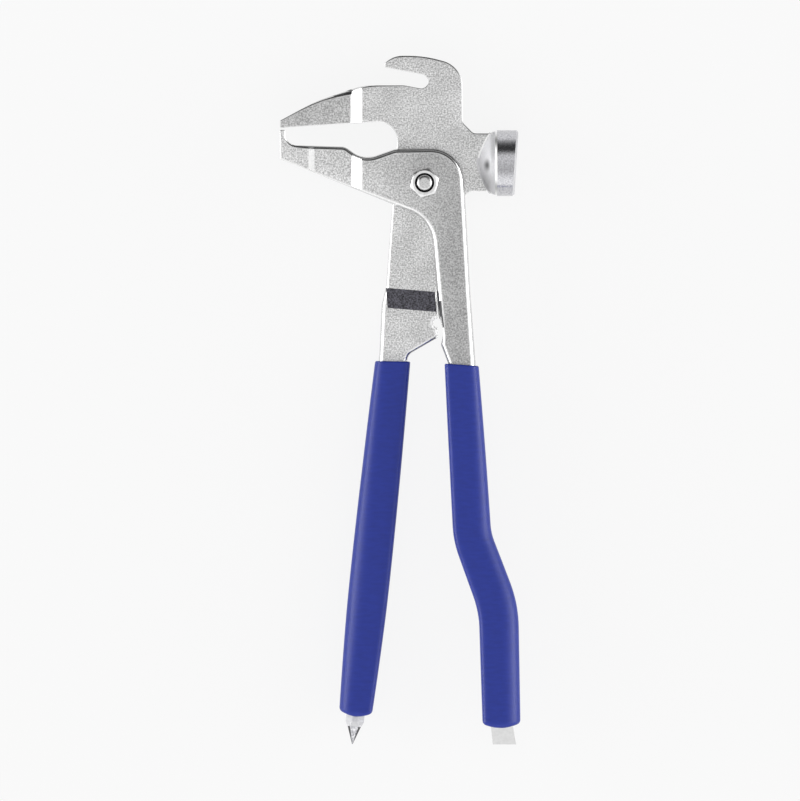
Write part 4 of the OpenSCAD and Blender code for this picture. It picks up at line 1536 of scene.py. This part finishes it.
        # A straight tube carries each ring's share of the length and each point's share of the turn
        rail = output(tree, "GeometryNodeCurvePrimitiveLine")
        rail = output(tree, "GeometryNodeResampleCurve", {0: rail, "Count": known["Rings"]})
        hoop = output(tree, "GeometryNodeCurvePrimitiveCircle", {"Resolution": known["Sides"]})
        curves = []
        for curve, name in ((rail, "along"), (hoop, "turn")):
            note = add(tree, "GeometryNodeCaptureAttribute", {0: curve})
            note.capture_items.new("FLOAT", "Share")
            tree.links.new(output(tree, "GeometryNodeSplineParameter"), note.inputs[1])
            curves.append(note.outputs[0])
            known[name] = note.outputs[1]
        tube = output(tree, "GeometryNodeCurveToMesh", {0: curves[0], 1: curves[1], "Fill Caps": True})

        # Rings lie closer together at both ends, where the rims are rounded
        reckon(tree, known, [
            ("share", "SMOOTH", "along"),
            ("run", "MULTIPLY", "share", "Length"),
            ("left", "SUBTRACT", "Length", "run"),
            ("here", "ADD", "run", "Bare")])
        radius = output(tree, "GeometryNodeInputRadius")
        sample = add(tree, "GeometryNodeSampleCurve", {
            "Curves": known["Geometry"], "Length": known["here"], "Value": radius},
            mode="LENGTH", data_type="FLOAT", use_all_curves=True)
        known["shank"], spot, tangent = sample.outputs[:3]

        # The side wall swells from the mouth to the middle and thins again to the end
        known["wall"] = known["Middle Wall"]
        for name, start, end in (("Mouth Wall", "Mouth Swell", 0.0), ("End Wall", "End Swell", 1.0)):
            reckon(tree, known, [
                ("fade", "RANGE", "share", start, end),
                ("fade", "POWER", "fade", "Swell Power"),
                ("loss", "SUBTRACT", "Middle Wall", name),
                ("loss", "MULTIPLY", "loss", "fade"),
                ("wall", "SUBTRACT", "wall", "loss")])

        # Both rims are rounded by drawing their last rings in
        known["skin"] = known["Fit"]
        for name, distance in (("Rim Radius", "left"), ("Mouth Radius", "run")):
            reckon(tree, known, [
                ("short", "SUBTRACT", name, distance),
                ("short", "MAXIMUM", "short", 0.0),
                ("short", "MULTIPLY", "short", "short"),
                ("whole", "MULTIPLY", name, name),
                ("rest", "SUBTRACT", "whole", "short"),
                ("rest", "SQRT", "rest"),
                ("rest", "SUBTRACT", "rest", name),
                ("skin", "ADD", "skin", "rest")])

        # A squarish section: each coordinate of the circle raised to a power below one. The outer side
        # gets rounder where the wall swells.
        reckon(tree, known, [
            ("angle", "MULTIPLY", "turn", 2 * math.pi),
            ("facing", "COSINE", "angle"),
            ("facing", "MULTIPLY", "facing", "Outer Side"),
            ("facing", "GREATER_THAN", "facing", 0.0),
            ("outer", "RANGE", "wall", "Mouth Wall", "Middle Wall", "Mouth Squareness", "Outer Squareness"),
            ("square", "MIX", "facing", "Inner Squareness", "outer"),
            ("power", "DIVIDE", 2.0, "square")])
        for result, operation in (("wide", "COSINE"), ("high", "SINE")):
            reckon(tree, known, [
                ("wave", operation, "angle"),
                ("size", "ABSOLUTE", "wave"),
                ("size", "POWER", "size", "power"),
                ("sign", "SIGN", "wave"),
                (result, "MULTIPLY", "size", "sign")])
        reckon(tree, known, [
            ("half", "ADD", "shank", "wall"),
            ("half", "ADD", "half", "skin"),
            ("across", "MULTIPLY", "half", "wide"),
            ("deep", "ADD", "Half Depth", "Face Wall"),
            ("deep", "ADD", "deep", "skin"),
            ("rise", "MULTIPLY", "deep", "high")])

        # The mouth sits a little aside and slants across the shank, and the end bows out
        reckon(tree, known, [
            ("fade", "RANGE", "run", "Shift Reach", 0.0),
            ("aside", "MULTIPLY_ADD", "Mouth Shift", "fade", "across"),
            ("fade", "RANGE", "run", "Slant Reach", 0.0),
            ("slant", "MULTIPLY", "Mouth Slant", "fade"),
            ("back", "MULTIPLY", "slant", "across"),
            ("bow", "RANGE", "left", "Bow Reach", 0.0, 0.0, "End Bow"),
            ("bow", "MULTIPLY", "bow", "wide"),
            ("back", "MULTIPLY_ADD", "bow", "wide", "back"),
            ("back", "MULTIPLY", "back", -1.0)])
        right = output(tree, VECTOR, {0: (0.0, 0.0, 1.0), 1: tangent}, operation="CROSS_PRODUCT")
        right = output(tree, VECTOR, {0: right, "Scale": known["aside"]}, operation="SCALE")
        down = output(tree, VECTOR, {0: tangent, "Scale": known["back"]}, operation="SCALE")
        up = output(tree, JOIN_XYZ, {2: known["rise"]})
        for step in (right, down, up):
            spot = output(tree, VECTOR, {0: spot, 1: step}, operation="ADD")
        shaped = output(tree, "GeometryNodeSetPosition", {0: tube, "Position": spot})
        end_tree(tree, shaped, known["Material"])
        return tree


@dataclass
class Studio:
    """Pale table, soft light from all sides and a camera square above the tool."""

    floor_level: float = 0.9387
    floor_albedo: float = 0.08
    unseen_albedo: float = 0.8
    floor_size: float = 30.0
    lens: float = 1000.0
    sensor: float = 36.0
    clip: Place = (0.1, 100.0)
    scale_mm: float = 0.385
    pivot_px: Place = (424.5, 183.0)
    image_px: Place = (800.0, 801.0)
    # Light levels: overhead, low behind the handles, at their horizon, behind the hook, and at both sides
    overhead: float = 1.0
    near: float = 1.4
    horizon: float = 0.75
    dark: float = 0.04
    side: float = 3.2
    strip: float = 6.0

    def build(self) -> None:
        """Makes the floor, the light and the camera."""
        self.build_floor()
        self.build_world()
        self.build_camera()

    def build_floor(self) -> None:
        """Makes the pale floor, which keeps a faint shadow of the tool."""
        bm = bmesh.new()
        bmesh.ops.create_grid(bm, x_segments=1, y_segments=1, size=self.floor_size / 2)
        floor = draft("floor", bm)
        material = bpy.data.materials.new("pale_table_card")
        material.use_nodes = True
        tree = material.node_tree
        tree.nodes.clear()
        path = add(tree, "ShaderNodeLightPath").outputs
        seen = path["Is Camera Ray"]
        for ray in ("Is Glossy Ray", "Is Transmission Ray"):
            seen = output(tree, MATH, {0: seen, 1: path[ray]}, operation="MAXIMUM")
        card, plain = (output(tree, "ShaderNodeBsdfDiffuse", {0: (albedo,) * 3 + (1.0,)})
                       for albedo in (self.floor_albedo, self.unseen_albedo))
        glow = output(tree, "ShaderNodeEmission", {0: WHITE, 1: self.floor_level - self.floor_albedo})
        shown = output(tree, "ShaderNodeAddShader", {0: card, 1: glow})
        mixed = output(tree, "ShaderNodeMixShader", {0: seen, 1: plain, 2: shown})
        add(tree, "ShaderNodeOutputMaterial", {0: mixed})
        floor.data.materials.append(material)

    def build_world(self) -> None:
        """Makes the light: bright low to both sides, dark behind the hook, even overhead."""
        world = bpy.data.worlds.new("soft_studio")
        bpy.context.scene.world = world
        world.use_nodes = True
        tree = world.node_tree
        tree.nodes.clear()
        ray = add(tree, "ShaderNodeTexCoord").outputs["Generated"]
        x, y, z = add(tree, SPLIT_XYZ, {0: ray}).outputs
        flat = output(tree, JOIN_XYZ, {0: x, 1: y})
        around = output(tree, VECTOR, {0: flat}, operation="NORMALIZE")
        known = {"x": x, "y": y, "z": z, "ahead": add(tree, SPLIT_XYZ, {0: around}).outputs[1]}
        # Each share fades in over a range of one of the ray's measures
        reckon(tree, known, [
            ("level", "SMOOTH", "y", -0.48, -0.78, self.overhead, self.near),
            ("low", "SMOOTH", "z", 0.22, 0.02),
            ("handles", "SMOOTH", "ahead", -0.25, -0.6),
            ("haze", "MULTIPLY", "low", "handles"),
            ("level", "MIX", "haze", "level", self.horizon),
            ("hook", "SMOOTH", "ahead", 0.25, 0.6),
            ("leaning", "SMOOTH", "z", 0.97, 0.69),
            ("raised", "SMOOTH", "z", -0.4, 0.54),
            ("shade", "MULTIPLY", "hook", "leaning"),
            ("shade", "MULTIPLY", "shade", "raised"),
            ("level", "MIX", "shade", "level", self.dark),
            ("aside", "ABSOLUTE", "x"),
            ("sides", "SMOOTH", "aside", 0.72, 0.86),
            ("level", "MIX", "sides", "level", self.side),
            ("strip", "SMOOTH", "aside", 0.93, 0.985, 0.0, self.strip),
            ("level", "ADD", "level", "strip")])
        glow = output(tree, "ShaderNodeBackground", {"Color": WHITE, "Strength": known["level"]})
        add(tree, "ShaderNodeOutputWorld", {0: glow})

    def build_camera(self) -> None:
        """Sets the camera so that a millimetre in the joint's plane has the photograph's size."""
        scene = bpy.context.scene
        scene.view_settings.view_transform = "Standard"
        data = bpy.data.cameras.new("camera")
        data.sensor_width = self.sensor
        data.lens = self.lens
        data.clip_start, data.clip_end = self.clip
        reach = self.scale_mm * max(self.image_px) / self.sensor * self.lens * MM
        wide, high = self.image_px
        aim = (wide / 2 - self.pivot_px[0], self.pivot_px[1] - high / 2)
        camera = linked("camera", data)
        camera.location = PIVOT + Vector((aim[0] * self.scale_mm * MM, aim[1] * self.scale_mm * MM, reach))
        scene.camera = camera


def main() -> None:
    """Builds the tool and its setting in order."""
    logging.basicConfig(level=logging.INFO, format="%(name)s: %(message)s")
    lap = Lap()
    back_steel = TumbledSteel("tumbled_steel_back", "#ececec", "#a2a2a2", 0.8, -27.6, -28.2).build()
    front_steel = TumbledSteel("tumbled_steel_front", "#f0f0f0", "#ababab", 0.66, -30.0, 12.0).build()
    finishes = Finishes()
    back = HammerLever(lap, back_steel, finishes)
    back.build()
    front = ClawLever(lap, front_steel, finishes)
    front.build()
    # Plated bolt: satin, a little darker than the nut
    plated = PlainFinish("plated_bolt_steel", "#d6d6d6", "#b4b4b4", 1.0, 0.28, 0.7, 0.02).build()
    # Bright zinc plating of the nut: clear reflections with a faint cloudiness
    zinc = PlainFinish("bright_zinc", "#e6e6e6", "#cfcfcf", 1.0, 0.3, 0.9, 0.008).build()
    # Painted shade in the nut's bore and mouth: nearly black, so that a deep ring shows round the bolt
    thread_shade = PlainFinish("painted_thread_shade", "#17171a", "#0e0e10", 0.0, 0.5, 0.5, 0.004, gloss=0.2).build()
    # Dipped soft vinyl: a deep blue with a weak sheen on its shoulders and faint wrinkles across
    vinyl = PlainFinish("soft_vinyl", "#1b2d87", "#18297e", 0.0, 0.42, 1.1, 0.07, gloss=0.32,
                        stretch=(0.25, 1.0, 0.6)).build()
    # Printed ink on blasted steel: flat black, broken up by the grain beneath it
    ink = PlainFinish("printed_black_ink", "#62616a", "#0c0b0e", 0.0, 0.6, 0.6, 0.02, gloss=0.3).build()
    PivotBolt(lap, plated).build()
    PivotNut(lap, zinc, thread_shade).build()
    left_path = [(*back.root, 0.0, back.root_w / 2), (*back.point, 0.0, back.tip_w / 2)]
    Sleeve("left_sleeve", Body.HAMMER, left_path, sum(lap.back) / 2, bare=3.05, length=137.55,
           walls=(1.2, 3.3, 2.5), shift=-0.1, slant=5.1, outer_side=-1.0, vinyl=vinyl, lap=lap).build()
    Sleeve("right_sleeve", Body.CLAW, front.shank(), sum(lap.front) / 2, bare=0.57, length=141.53,
           walls=(1.3, 3.1, 3.0), shift=-0.15, slant=-7.3, outer_side=1.0, vinyl=vinyl, lap=lap).build()
    band = frame["nodes"]["marking_band"]
    band.data.materials.clear()
    band.data.materials.append(ink)
    log.info("marking_band keeps its CAD mesh")
    Studio().build()


if __name__ == "__main__":
    main()
